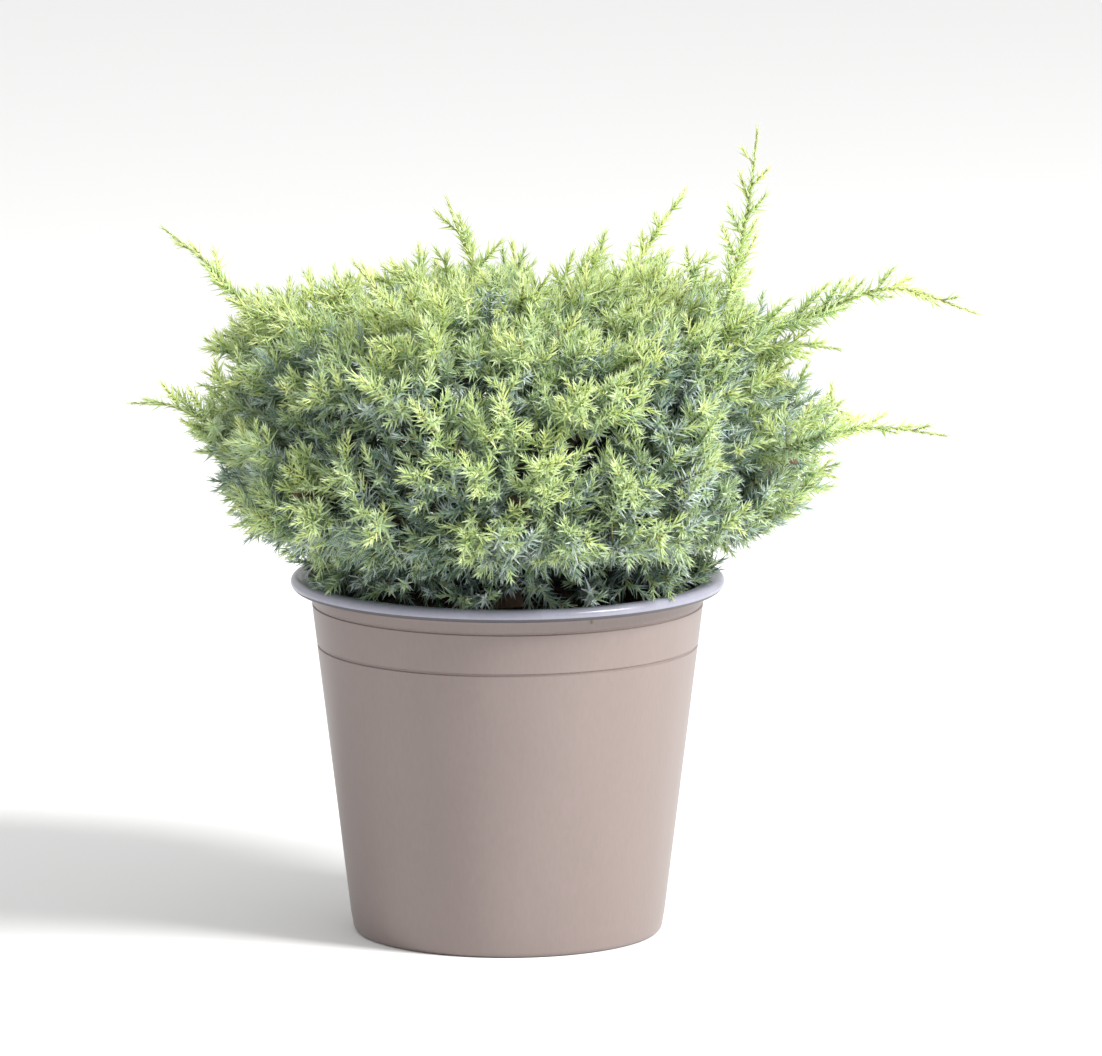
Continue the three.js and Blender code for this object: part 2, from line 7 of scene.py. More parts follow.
import bmesh
import bpy
import numpy as np
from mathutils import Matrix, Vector


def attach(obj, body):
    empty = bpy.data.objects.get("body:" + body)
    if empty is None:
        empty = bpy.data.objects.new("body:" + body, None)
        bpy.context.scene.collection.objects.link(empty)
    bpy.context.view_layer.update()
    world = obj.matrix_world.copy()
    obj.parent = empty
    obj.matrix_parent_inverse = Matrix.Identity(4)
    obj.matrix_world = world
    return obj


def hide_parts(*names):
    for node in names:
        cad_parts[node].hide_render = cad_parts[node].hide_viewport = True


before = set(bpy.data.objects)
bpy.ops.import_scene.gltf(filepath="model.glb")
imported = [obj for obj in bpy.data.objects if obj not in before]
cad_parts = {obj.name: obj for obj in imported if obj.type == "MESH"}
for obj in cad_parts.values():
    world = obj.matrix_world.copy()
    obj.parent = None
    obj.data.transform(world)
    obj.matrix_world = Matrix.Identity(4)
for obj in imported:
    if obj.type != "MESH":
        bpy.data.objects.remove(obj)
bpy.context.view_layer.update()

MM = 0.001

# Sizes of the limbs and the crown, as in the part's source

POT_HEIGHT = 108
POT_RIM_RADIUS = 65
POT_FOOT_RADIUS = 46.5
POT_DRAFT = 0.122
POT_WALL = 1.2
POT_FLOOR = 1.6
POT_MOUTH_RADIUS = 57
RIM_LINE_Z = 99.8
COLLAR_LINE_Z = 87.3
DRAIN_HOLES = 8
DRAIN_HOLE_RADIUS = 3.2
DRAIN_CIRCLE_RADIUS = 36

SOIL_TOP_Z = 98
SOIL_EDGE_DROP = 1.8
GAP = 0.3

TRUNK_HEIGHT = 44
TRUNK_FLARE_RADIUS = 5.4
TRUNK_RADIUS = 3.5
TRUNK_TOP_RADIUS = 2.3
TRUNK_LEAN = np.array([4.5, 2, 0])
BOUGH_BASE_RADIUS = 1.75
BOUGH_TIP_RADIUS = 1.25
STEM_TIP_RADIUS = 0.8

CROWN_CENTRE = np.array([-1, 0, POT_HEIGHT + 42])
CROWN_HALF_WIDTH = 98
CROWN_HALF_DEPTH = 97
CROWN_RISE = 52
CROWN_DROP = 44
CROWN_SQUARENESS = 3
CORE_MIDDLE_INSET = 30
SEED_REACH = 70

# Each ring of masses: how many, where the first one points, where its plume ends, how high the
# arch of its bough is, the share of that curve which is bough, and the two heights on the trunk,
# as shares of it, that its boughs leave from in turn.
RINGS = [
    {"count": 8, "turn": 0, "plume": (84, 34), "arch": (40, 34), "bough": 0.45, "foot": (0.16, 0.4)},
    {"count": 6, "turn": -12, "plume": (60, 76), "arch": (24, 46), "bough": 0.66, "foot": (0.74, 0.52)},
    {"count": 3, "turn": 43, "plume": (23, 86), "arch": (19, 50), "bough": 0.66, "foot": (0.82, 1)},
]
TURN_JITTER = 7
REACH_JITTER = 0.04
HEIGHT_JITTER = 3

# The long shoots that stand out of the crown: where each leaves it, a point half way, and its tip,
# as x, y and height above the rim.
LEADERS = [
    [(84, -14, 78), (114, -17, 89), (139, -20, 82)],
    [(84, -30, 44), (109, -35, 50), (130, -38, 48)],
    [(72, -15, 71), (87, -17, 72), (99, -19, 71)],
    [(64, -18, 84), (71, -21, 112), (74, -23, 137)],
    [(-72, 30, 72), (-90, 38, 88), (-104, 46, 98)],
    [(-26, -46, 76), (-35, -53, 90), (-45, -58, 103)],
    [(34, 50, 76), (45, 66, 94), (54, 76, 106)],
    [(-87, -12, 46), (-100, -13, 53), (-112, -14, 54)],
    [(54, 72, 50), (68, 88, 58), (78, 100, 58)],
    [(-10, 8, 90), (-14, 10, 101), (-18, 10, 112)],
]

TWIG_BEND = 0.55
TWIG_LIFT = np.array([0, 0, 0.35])
LOWEST_TIP_ANGLE = math.radians(-48)

# The fine growth. Each layer of tips has the key of its draws, its spacing over the dome, its share
# of the dome's reach and the spread of that share, and how far a tip strays round the dome and up
# or down it.
TWIG_LAYER = {"key": 9, "spacing": 22, "share": 0.95, "spread": 0.06, "stray": (0.22, 0.08)}
OUTER_LAYER = {"key": 21, "spacing": 8.4, "share": 1, "spread": 0, "stray": (0.35, 0.035)}
MIDDLE_LAYER = {"key": 22, "spacing": 10.5, "share": 0.8, "spread": 0.05, "stray": (0.3, 0.04)}
INNER_LAYER = {"key": 23, "spacing": 12.5, "share": 0.7, "spread": 0.06, "stray": (0.3, 0.05)}
HEART_LAYER = {"key": 24, "spacing": 12, "share": 0.5, "spread": 0.08, "stray": (0.3, 0.06)}
SKIRT = {"key": 11, "count": 64, "radius": 58, "radius_spread": 6, "height": 3.5, "height_spread": 2.5}
SKIRT_STRAY = 0.4
DOME_STATIONS = 121

# The keys of the other draws
KEYS = {
    "twigs": 31,
    "sprigs": 32,
    "leaders": 41,
    "colours": 51,
    "trunk": 61,
    "boughs": 62,
    "crumb": 71,
    "crumbs": 72,
}
NEEDLE_SEED = 3
CRUMB_SEED = 5

# A twig's tip is the crest of a plume. The outer tips round it lie deeper the further they are
# from the crest, by the valley's depth at the plume's radius, and they also lie deeper near the
# border between two masses. Some plumes are paler than others, by the last number at most.
PLUME_RADIUS = 12
VALLEY_DEPTH = 10
BORDER_WIDTH = 12
BORDER_DEPTH = 10
DEEPEST = 19
PLUME_TONE = 0.35

# The crown's hem: outside this radius no tip hangs lower than a cone that rises outwards
HEM_RADIUS = 60
HEM_HEIGHT = 7
HEM_SLOPE = 0.6

# One in so many outer sprigs of the crown's upper part stands out of it, by this much
STRAY_HEIGHT = 66
STRAY_EVERY = 9
STRAY_LENGTH = 7

# Twigs leave a mass's stem between its bough's end and its tip. Sprigs leave twigs and stems.
FIRST_TWIG = 0.06
LAST_TWIG = 0.98
SPRIG_REACH = 24
SPRIG_LIFT = np.array([0, 0, 0.8])
SPRIG_WAVER = 2.5

# How far inside its mass's wedge a tip lies, and the share of the way to the mass's centre that it
# is moved at a time until it does
TWIG_BORDER = {"gap": 3, "step": 0.04}
SPRIG_BORDER = {"gap": 1.2, "step": 0.03}
TIP_CLEARANCE = 1.2
EVEN_SHADE = 0.5

SIDE_SPRIGS = {"outer": 3, "middle": 1, "inner": 1, "skirt": 3}
SIDE_SPRIG_LENGTH = 8
SIDE_SPRIG_STEP = 4.5
SIDE_SPRIG_WAVER = 1.5
SIDE_SPRIG_SPREAD = math.radians(42)

# A leader starts inside the crown. Its sprigs begin behind its bare tip, and towards the crown they
# get longer and stand closer, in a brush that goes on below the crown's surface.
LEADER_START = 0.96
LEADER_SHADE = 0.1
LEADER_BARE_TIP = 11
LEADER_SPRIG_LENGTH = 4
LEADER_SPRIG_GAIN = 11
LEADER_SPRIG_STEP = 6
LEADER_SPRIG_CROWDING = 4.3
LEADER_SPRIG_LIFT = np.array([0, 0, 0.25])
BRUSH_DEPTH = 18

# Which length of a shoot bears needles, counted from its tip, and how the whorls stand on it
TWIG_BEARING = 30
SPRIG_BEARING = 20
LEADER_BEARING = 16
BARE_TIP = 0.6
BARE_ROOT = 1.5
WHORL_SPACING = 1.3
NEEDLE_LENGTH = 5
NEEDLE_CLEARANCE = 0.6
NEW_GROWTH = 6.5

# For each rank of shoot: the stem's radius at its root and its tip, the straight steps that it is
# drawn in, and how fast its needles open with their distance from its tip
RANKS = {
    "twig": {"stem": (0.8, 0.3), "steps": 7, "opening": 1},
    "sprig": {"stem": (0.48, 0.24), "steps": 4, "opening": 1},
    "side sprig": {"stem": (0.36, 0.24), "steps": 1, "opening": 1},
    "leader": {"stem": (0.95, 0.35), "steps": 16, "opening": 0.2},
}

# Bark, pot and peat
TRUNK_SIDES = 28
TRUNK_STATIONS = 90
TRUNK_RELIEF = 0.09
FLARE_SHARE = 0.16
BOUGH_SIDES = 14
BOUGH_STATIONS = 60
BOUGH_RELIEF = 0.08

POT_SEGMENTS = 144
POT_ROUNDING = 1.9
LIP_DEPTH = 3.9
SHARP_EDGE = math.radians(38)
DRILL_SIDES = 20
DRILL_REACH = 4

PEAT_RINGS = 60
PEAT_SEGMENTS = 150
PEAT_FOOT_Z = POT_FLOOR + 1.6
CRUMBS = 900

# The needles' colours: the outer side of a needle and its paler upper side
COLOURS = {
    "lime": ((0.63, 0.75, 0.28), (0.59, 0.71, 0.34)),
    "yellow_green": ((0.50, 0.64, 0.26), (0.52, 0.66, 0.36)),
    "fresh_green": ((0.34, 0.47, 0.24), (0.43, 0.56, 0.35)),
    "leaf_green": ((0.17, 0.27, 0.16), (0.31, 0.42, 0.32)),
    "blue_green": ((0.12, 0.20, 0.17), (0.33, 0.43, 0.42)),
    "silver_green": ((0.26, 0.36, 0.31), (0.50, 0.60, 0.57)),
    # deep_green is the older needles' dark green, made darker still as painted shade deep in the crown and
    # its valleys.
    "deep_green": ((0.035, 0.07, 0.04), (0.09, 0.15, 0.11)),
    "dry_brown": ((0.26, 0.17, 0.09), (0.34, 0.25, 0.15)),
}

# Colours are dealt out by spray. Each row is for sprays brighter than its number, and the first
# that fits holds. It has the new growth and then the older needles: a colour, the share of sprays
# that get it, and the colour of the others.
SURFACE_TONES = [
    (0.66, ("lime", 0.65, "yellow_green"), ("yellow_green", 1, "yellow_green")),
    (0.48, ("lime", 0.3, "yellow_green"), ("fresh_green", 1, "fresh_green")),
    (0.28, ("yellow_green", 0.45, "fresh_green"), ("leaf_green", 0.5, "silver_green")),
    (0.08, ("fresh_green", 0.5, "silver_green"), ("blue_green", 0.7, "leaf_green")),
    (-math.inf, ("leaf_green", 0.5, "blue_green"), ("blue_green", 0.4, "deep_green")),
]
TONES = {
    "outer": SURFACE_TONES,
    "middle": [
        (0.5, ("fresh_green", 1, "fresh_green"), ("blue_green", 0.4, "deep_green")),
        (-math.inf, ("leaf_green", 1, "leaf_green"), ("blue_green", 0.4, "deep_green")),
    ],
    "inner": [(-math.inf, ("deep_green", 0.06, "leaf_green"), ("dry_brown", 0.06, "deep_green"))],
    "skirt": SURFACE_TONES,
}

NEEDLE_FINISH = {"specular": 0.25, "glow": 0.5}
OUTER_ROUGHNESS = 0.55
UPPER_ROUGHNESS = 0.65
GLOW_TINT = (0.85, 1, 0.45)
WOODY_COLOUR = (0.20, 0.155, 0.085)
GREEN_STEM_COLOUR = (0.30, 0.32, 0.13)

# Finishes whose colour moves between two tints. A mottle says where it isn't the usual one.
TINT_RANGE = (0.32, 0.68)
FINISHES = {
    "taupe_plastic": {
        "tints": ((0.187, 0.148, 0.138), (0.226, 0.18, 0.168)),
        "roughness": (0.33, 0.45),
        "bump": (0.08, 0.0004),
        "mottle": {"Cloud Size": 18.0, "Grain Share": 0.25, "Stretch": 0.35},
    },
    # The lip's slate plastic, tinted much paler than the dark plastic really is: a painted reflection of the
    # white surroundings.
    "slate_lip_plastic_and_painted_reflection": {
        "tints": ((0.24, 0.24, 0.30), (0.31, 0.31, 0.38)),
        "roughness": (0.2, 0.3),
        "bump": (0.05, 0.0003),
        "mottle": {"Grain Share": 0.25},
    },
    # Dark plastic of the pot's inside, also used under the lip's roll as a painted shadow line.
    "dark_plastic_and_painted_shade": {
        "tints": ((0.055, 0.052, 0.06), (0.085, 0.08, 0.092)),
        "roughness": (0.35, 0.5),
        "bump": (0.08, 0.0004),
        "mottle": {},
    },
    "peat": {
        "tints": ((0.012, 0.008, 0.006), (0.05, 0.032, 0.02)),
        "roughness": (0.85, 1.0),
        "bump": (0.8, 0.001),
        "mottle": {"Cloud Size": 220.0, "Grain Size": 1600.0, "Grain Share": 0.45},
    },
    "bark": {
        "tints": ((0.07, 0.042, 0.026), (0.22, 0.145, 0.095)),
        "roughness": (0.75, 0.95),
        "bump": (0.6, 0.0005),
        "mottle": {"Cloud Size": 260.0, "Grain Size": 1500.0, "Grain Share": 0.5, "Stretch": 0.3},
    },
}

# Floor, light and camera. The light and the camera are in metres.
FLOOR_HALF_SIZE = 6000
WORLD_STRENGTH = 0.86
LIGHT_TARGET = (0, 0, 0.13)
KEY_LIGHT = {"place": (1.4, -0.8, 1.45), "size": 0.7, "power": 73, "colour": (1, 0.99, 0.97)}
CAMERA_ELEVATION = math.radians(9.5)
CAMERA_DISTANCE = 3.4
CAMERA_TARGET = (0.013, 0, 0.122)
FRAME_WIDTH = 0.33
SENSOR_WIDTH = 36


# Seeded numbers between 0 and 1 that do not depend on the order in which pieces are made


def seeded(*keys):
    state = 12345
    for key in keys:
        state = (1664525 * (state + key * 7919) + 1013904223) % 4294967296

    def draw():
        nonlocal state
        state = (1664525 * state + 1013904223) % 4294967296
        return state / 4294967296

    return draw


def spread(draw, reach):
    return (2 * draw() - 1) * reach


def any_turn(draw):
    return 6 * draw()


def unit(vectors):
    return vectors / np.linalg.norm(vectors, axis=-1, keepdims=True)


# Paths: a quadratic curve through a bend, and the leaders' smooth curve through four points


class Bend:
    def __init__(self, start, bend, end):
        self.points = [np.asarray(p, float) for p in (start, bend, end)]

    def at(self, t):
        t = np.atleast_1d(t)[:, None]
        start, bend, end = self.points
        return (1 - t) ** 2 * start + 2 * t * (1 - t) * bend + t**2 * end

    def heading(self, t):
        t = np.atleast_1d(t)[:, None]
        start, bend, end = self.points
        return unit((1 - t) * (bend - start) + t * (end - bend))

    def length(self):
        return float(np.linalg.norm(np.diff(self.at(np.linspace(0, 1, 17)), axis=0), axis=1).sum())


class Spline:
    """A centripetal curve through a few points."""

    def __init__(self, points):
        points = [np.asarray(p, float) for p in points]
        first = 2 * points[0] - points[1]
        last = 2 * points[-1] - points[-2]
        self.points = [first, *points, last]

    def at(self, t):
        spans = len(self.points) - 3
        places = []
        for value in np.atleast_1d(t):
            span = min(int(value * spans), spans - 1)
            places.append(self.inside_span(span, value * spans - span))
        return np.array(places)

    def inside_span(self, span, weight):
        a, b, c, d = self.points[span : span + 4]
        knots = [0.0]
        for start, end in ((a, b), (b, c), (c, d)):
            knots.append(knots[-1] + np.linalg.norm(end - start) ** 0.5)
        place = knots[1] + weight * (knots[2] - knots[1])

        def blend(start, end, low, high):
            share = (place - low) / (high - low)
            return start + (end - start) * share

        ab = blend(a, b, knots[0], knots[1])
        bc = blend(b, c, knots[1], knots[2])
        cd = blend(c, d, knots[2], knots[3])
        abc = blend(ab, bc, knots[0], knots[2])
        bcd = blend(bc, cd, knots[1], knots[3])
        return blend(abc, bcd, knots[1], knots[2])


def walk(path, steps):
    """Points along a path, the way it heads at each, and the distance travelled to each."""
    places = path.at(np.linspace(0, 1, steps + 1))
    strides = np.diff(places, axis=0)
    lengths = np.linalg.norm(strides, axis=1)
    headings = unit(np.vstack([strides[:1], (strides[1:] + strides[:-1]) / 2, strides[-1:]]))
    return places, headings, np.concatenate([[0], np.cumsum(lengths)])


# The crown's dome, with shallow lumps so that its outline is uneven


def lump_at(directions):
    angle = np.arctan2(directions[:, 1], directions[:, 0])
    return 1 + 0.045 * np.sin(3 * angle + 0.8) + 0.03 * np.sin(5 * angle - 2 * directions[:, 2])


def crown_stretch(directions):
    level = np.hypot(directions[:, 0], directions[:, 1]) ** CROWN_SQUARENESS
    steep = np.abs(directions[:, 2]) ** CROWN_SQUARENESS
    return lump_at(directions) / (level + steep) ** (1 / CROWN_SQUARENESS)


def crown_half_sizes(heights):
    rise = np.where(heights > 0, CROWN_RISE, CROWN_DROP)
    width = np.full(len(rise), CROWN_HALF_WIDTH)
    depth = np.full(len(rise), CROWN_HALF_DEPTH)
    return np.stack([width, depth, rise], 1)


def crown_points(directions, share):
    scale = (share * crown_stretch(directions))[:, None]
    return CROWN_CENTRE + directions * crown_half_sizes(directions[:, 2]) * scale


def crown_share(points):
    """How far out each point is: 0 at the crown's centre and 1 on the dome."""
    away = points - CROWN_CENTRE
    scaled = away / crown_half_sizes(away[:, 2])
    depth = np.linalg.norm(scaled, axis=1)
    return depth / crown_stretch(scaled / depth[:, None])


def crown_inset(points):
    """How far inside the dome each point is, along the line from the crown's centre."""
    return np.linalg.norm(points - CROWN_CENTRE, axis=1) * (1 / crown_share(points) - 1)


def clear_of_pot(points, margin):
    inside = np.hypot(points[:, 0], points[:, 1]) < POT_MOUTH_RADIUS - margin
    return points[:, 2] > np.where(inside, SOIL_TOP_Z, POT_HEIGHT) + margin


def around_pot(turn, radius, above):
    return np.array([math.cos(turn) * radius, math.sin(turn) * radius, POT_HEIGHT + above])


# The trunk, the boughs and the masses that they carry


trunk_foot = np.array([0, 0, SOIL_TOP_Z + GAP])
trunk_path = Bend(
    trunk_foot,
    trunk_foot + (-1, 0.5, TRUNK_HEIGHT * 0.5),
    trunk_foot + TRUNK_LEAN + (0, 0, TRUNK_HEIGHT),
)


def plan_masses():
    plans = []
    for ring_index, ring in enumerate(RINGS):
        for i in range(ring["count"]):
            draw = seeded(ring_index + 1, i + 1)
            turn = math.radians(ring["turn"] + 360 * i / ring["count"] + spread(draw, TURN_JITTER))
            reach = ring["plume"][0] * (1 + spread(draw, REACH_JITTER))
            height = ring["plume"][1] + spread(draw, HEIGHT_JITTER)
            path = Bend(
                trunk_path.at(ring["foot"][i % 2])[0],
                around_pot(turn, *ring["arch"]),
                around_pot(turn, reach, height),
            )
            seed = CROWN_CENTRE + unit(path.at(1)[0] - CROWN_CENTRE) * SEED_REACH
            backwards = path.at(np.linspace(1, 0, 101))
            centre = backwards[np.argmax(crown_inset(backwards) > CORE_MIDDLE_INSET)]
            plans.append({"path": path, "entry": ring["bough"], "seed": seed, "centre": centre})
    return plans


masses = plan_masses()
seeds = np.array([mass["seed"] for mass in masses])


def owners(points):
    """The mass that each point belongs to: the one whose seed is nearest."""
    return np.argmin(np.linalg.norm(points[:, None] - seeds[None], axis=2), axis=1)


def border_distance(points):
    """How far inside its own mass's wedge each point lies."""
    away = np.sum((points[:, None] - seeds[None]) ** 2, axis=2)
    rows = np.arange(len(points))
    own = np.argmin(away, axis=1)
    between = np.linalg.norm(seeds[own][:, None] - seeds[None], axis=2)
    between[rows, own] = 1
    margin = (away - away[rows, own][:, None]) / (2 * between)
    margin[rows, own] = np.inf
    return margin.min(axis=1)


def kept_inside(tip, mass, gap, step):
    """Moves a tip towards its mass's centre until it is this far inside a wedge."""
    while border_distance(tip[None])[0] < gap:
        tip = tip + (mass["centre"] - tip) * step
    return tip


# The tips of each layer lie in rings over the dome, evenly spaced down its profile and round it


def plan_tips(layer):
    rises = np.linspace(math.pi / 2, LOWEST_TIP_ANGLE, DOME_STATIONS)
    stray_round, stray_up = layer["stray"]
    directions = np.stack([np.cos(rises), np.zeros(len(rises)), np.sin(rises)], 1)
    profile = crown_points(directions, layer["share"])
    steps = np.linalg.norm(np.diff(profile, axis=0), axis=1)
    tips = []
    travelled = 0.6 * layer["spacing"]
    ring = 0
    for i, step in enumerate(steps, 1):
        travelled += step
        if travelled < layer["spacing"]:
            continue
        travelled -= layer["spacing"]
        ring += 1
        level = profile[i] - CROWN_CENTRE
        count = max(3, round(2 * math.pi * level[0] / layer["spacing"]))
        rise = CROWN_RISE if level[2] > 0 else CROWN_DROP
        for j in range(count):
            draw = seeded(layer["key"], ring, j + 1)
            turn = (j + 0.5 * (ring % 2) + spread(draw, stray_round)) / count * 2 * math.pi
            direction = np.array([
                math.cos(turn) * level[0] / CROWN_HALF_WIDTH,
                math.sin(turn) * level[0] / CROWN_HALF_WIDTH,
                level[2] / rise + spread(draw, stray_up),
            ])
            share = layer["share"] + spread(draw, layer["spread"])
            tips.append(crown_points(unit(direction)[None], share)[0])
    tips = np.array(tips)
    return tips[clear_of_pot(tips, TIP_CLEARANCE)]


def plan_skirt():
    """Low tips all the way round over the pot's rim."""
    tips = []
    for i in range(SKIRT["count"]):
        draw = seeded(SKIRT["key"], i + 1)
        turn = (i + spread(draw, SKIRT_STRAY)) / SKIRT["count"] * 2 * math.pi
        radius = SKIRT["radius"] + spread(draw, SKIRT["radius_spread"])
        height = SKIRT["height"] + spread(draw, SKIRT["height_spread"])
        tips.append(around_pot(turn, radius, height))
    return np.array(tips)


def border_fall(tips):
    """How much deeper each tip lies because it is near the border between two masses."""
    return BORDER_DEPTH * np.maximum(0, 1 - border_distance(tips) / BORDER_WIDTH) ** 2


def drawn_in(tips, depth):
    return tips - unit(tips - CROWN_CENTRE) * depth[:, None]


def above_hem(tips):
    beyond = np.hypot(tips[:, 0], tips[:, 1]) - HEM_RADIUS
    lowest = np.where(beyond > 0, POT_HEIGHT + HEM_HEIGHT + HEM_SLOPE * beyond, 0)
    return np.column_stack([tips[:, :2], np.maximum(tips[:, 2], lowest)])


def plume_tone(crests):
    """Some plumes are paler than others: how much more or less shade each has."""
    return PLUME_TONE * np.sin(crests @ (1.7, 2.3, 1.1))


def settle_on_plumes(tips, crests):
    """Draws tips on the dome in to the plumes' uneven surface. Also gives the shade of each: about
    0 on a crest and 1 in a deep valley, and its plume's own tone."""
    feet = CROWN_CENTRE + (crests - CROWN_CENTRE) / crown_share(crests)[:, None]
    across = np.linalg.norm(tips[:, None] - feet[None], axis=2) / PLUME_RADIUS
    falls = crown_inset(crests)[None] + VALLEY_DEPTH * across**2
    nearest = np.argmin(falls, axis=1)
    rows = np.arange(len(tips))
    border = border_fall(tips)
    depth = np.minimum(falls[rows, nearest] + border, DEEPEST)
    shade = np.minimum(1, across[rows, nearest] ** 2 + border / BORDER_DEPTH)
    return drawn_in(tips, depth), shade + plume_tone(crests)[nearest]


def outward_at(tip, lift):
    return unit(unit(tip - CROWN_CENTRE) + lift)


def plan_layers(crests):
    """The tips of each layer of sprigs and the shade of each tip, by the layer's name."""
    outer, shades = settle_on_plumes(plan_tips(OUTER_LAYER), crests)
    outer = above_hem(outer)
    strays = np.flatnonzero(outer[:, 2] > POT_HEIGHT + STRAY_HEIGHT)[::STRAY_EVERY]
    outer[strays] += outward_at(outer[strays], SPRIG_LIFT) * STRAY_LENGTH
    middle = plan_tips(MIDDLE_LAYER)
    evenly_shaded = {
        "middle": drawn_in(middle, border_fall(middle)),
        "inner": np.vstack([plan_tips(INNER_LAYER), plan_tips(HEART_LAYER)]),
        "skirt": plan_skirt(),
    }
    layers = {"outer": (outer, shades)}
    for name, tips in evenly_shaded.items():
        layers[name] = (tips, np.full(len(tips), EVEN_SHADE))
    return layers


# Shoots. Each is a path, the length of it that bears needles, and a rank: a twig, a sprig on a twig,
# a side sprig or a long leader. Its shade says how deep in a valley between two plumes it is, which
# darkens its colours as painted shade, and its roll how far round it the first whorl is turned.

Shoot = namedtuple("Shoot", ["path", "bearing", "rank", "layer", "shade", "roll"])


def twig_path(mass, tip):
    """A twig leaves its mass's stem behind the point nearest to its tip and bends out to the tip."""
    path = mass["path"]
    first = mass["entry"] + FIRST_TWIG
    choices = np.linspace(first, LAST_TWIG, 13)
    distances = np.linalg.norm(path.at(choices) - tip, axis=1)
    nearest = int(np.argmin(distances))
    leave = max(first, choices[nearest] - TWIG_BEND * distances[nearest] / path.length())
    start = path.at(leave)[0]
    bend = tip - outward_at(tip, TWIG_LIFT) * TWIG_BEND * np.linalg.norm(tip - start)
    return Bend(start, bend, tip)


def sprig_path(carriers, tip, draw):
    """A sprig leaves the carrier point that lies best behind its tip."""
    outward = outward_at(tip, SPRIG_LIFT)
    behind = tip - outward * SPRIG_REACH * (0.8 + 0.4 * draw())
    start = carriers[np.argmin(np.linalg.norm(carriers - behind, axis=1))]
    reach = np.linalg.norm(tip - start)
    bend = tip - outward * 0.45 * reach + np.array([spread(draw, SPRIG_WAVER) for _ in range(3)])
    return Bend(start, bend, tip)


def sideways(heading, roll, reference):
    """The direction square to a heading that lies this far round it."""
    across = unit(np.cross(heading, reference))
    return math.cos(roll) * across + math.sin(roll) * np.cross(heading, across)


def borne_by(parent, limbs, draw):
    """Side sprigs from their paths and sizes. They share their parent's layer and shade."""
    return [
        Shoot(path, size, "side sprig", parent.layer, parent.shade, any_turn(draw))
        for path, size in limbs
    ]


def side_sprigs(shoot, draw):
    """Short sprigs leave both sides of a shoot near its tip and turn towards its heading."""
    reach = shoot.path.length()
    limbs = []
    for i in range(SIDE_SPRIGS[shoot.layer]):
        back = (SIDE_SPRIG_STEP * (i + 1) + spread(draw, SIDE_SPRIG_WAVER)) / reach
        t = max(0.25, 1 - back)
        start = shoot.path.at(t)[0]
        heading = shoot.path.heading(t)[0]
        out = sideways(heading, math.pi * i + shoot.roll + spread(draw, 0.6), (0.3, 0.2, 1))
        lean = SIDE_SPRIG_SPREAD * (0.8 + 0.4 * draw())
        direction = math.cos(lean) * heading + math.sin(lean) * out
        longest = (back * reach + 0.8) / math.cos(lean)
        size = min(SIDE_SPRIG_LENGTH * (0.75 + 0.5 * draw()), longest)
        bend = start + direction * size * 0.5 - heading * size * 0.1
        limbs.append((Bend(start, bend, start + direction * size), size))
    return borne_by(shoot, limbs, draw)


def leader_sprigs(leader, free, draw):
    """Sprigs along a leader: short and far apart near its tip, a brush of longer ones at the crown."""
    places, headings, travelled = walk(leader.path, 80)
    total = travelled[-1]
    limbs = []
    back = LEADER_BARE_TIP
    while back < min(free + BRUSH_DEPTH, total - 4):
        inner = min(1, back / (free + 4))
        i = int(np.searchsorted(travelled, total - back))
        start, heading = places[i], headings[i]
        out = sideways(heading, math.pi * len(limbs) + spread(draw, 0.9), (0.1, 0.2, 1))
        lean = math.radians(30 + 12 * draw())
        direction = unit(math.cos(lean) * heading + math.sin(lean) * out + inner * LEADER_SPRIG_LIFT)
        size = LEADER_SPRIG_LENGTH + LEADER_SPRIG_GAIN * inner * (0.7 + 0.6 * draw())
        bend = start + direction * size * 0.55 - heading * size * 0.12
        limbs.append((Bend(start, bend, start + direction * size), size))
        back += LEADER_SPRIG_STEP - LEADER_SPRIG_CROWDING * inner + 1.6 * draw()
    return borne_by(leader, limbs, draw)


def grow_mass(index, mass, crests, layers):
    """A mass's twigs, one to each of its crests, and the sprigs that they and its stem carry."""
    shoots = []
    paths = [twig_path(mass, kept_inside(tip, mass, **TWIG_BORDER)) for tip in crests]
    stem_points = mass["path"].at(np.linspace(mass["entry"] + 0.05, 1, 20))
    carriers = np.concatenate([stem_points, *[path.at(np.linspace(0.15, 0.86, 12)) for path in paths]])
    for order, (path, tone) in enumerate(zip(paths, plume_tone(crests))):
        draw = seeded(KEYS["twigs"], index, order)
        twig = Shoot(path, TWIG_BEARING, "twig", "outer", tone, any_turn(draw))
        shoots += [twig, *side_sprigs(twig, draw)]
    for number, (layer, tips, shades) in enumerate(layers):
        for order, (tip, shade) in enumerate(zip(tips, shades)):
            draw = seeded(KEYS["sprigs"] + number, index, order)
            path = sprig_path(carriers, kept_inside(tip, mass, **SPRIG_BORDER), draw)
            bearing = min(path.length() * 0.9, SPRIG_BEARING)
            sprig = Shoot(path, bearing, "sprig", layer, shade, any_turn(draw))
            shoots += [sprig, *side_sprigs(sprig, draw)]
    return shoots


def grow_masses():
    crests = above_hem(plan_tips(TWIG_LAYER))
    crest_owner = owners(crests)
    layers = [(name, tips, shades, owners(tips)) for name, (tips, shades) in plan_layers(crests).items()]
    shoots = []
    for index, mass in enumerate(masses):
        own = [(name, tips[owner == index], shades[owner == index]) for name, tips, shades, owner in layers]
        shoots += grow_mass(index, mass, crests[crest_owner == index], own)
    return shoots


def grow_leaders():
    shoots = []
    for order, points in enumerate(LEADERS):
        base, middle, tip = [np.array([x, y, POT_HEIGHT + above], float) for x, y, above in points]
        mass = masses[owners(tip[None])[0]]
        path = Spline([mass["path"].at(LEADER_START)[0], base, middle, tip])
        draw = seeded(KEYS["leaders"], order)
        free = np.linalg.norm(tip - base)
        leader = Shoot(path, free + LEADER_BEARING, "leader", "outer", LEADER_SHADE, any_turn(draw))
        shoots += [leader, *leader_sprigs(leader, free, draw)]
    return shoots


# Whorls: every shoot bears them at even steps back from its tip


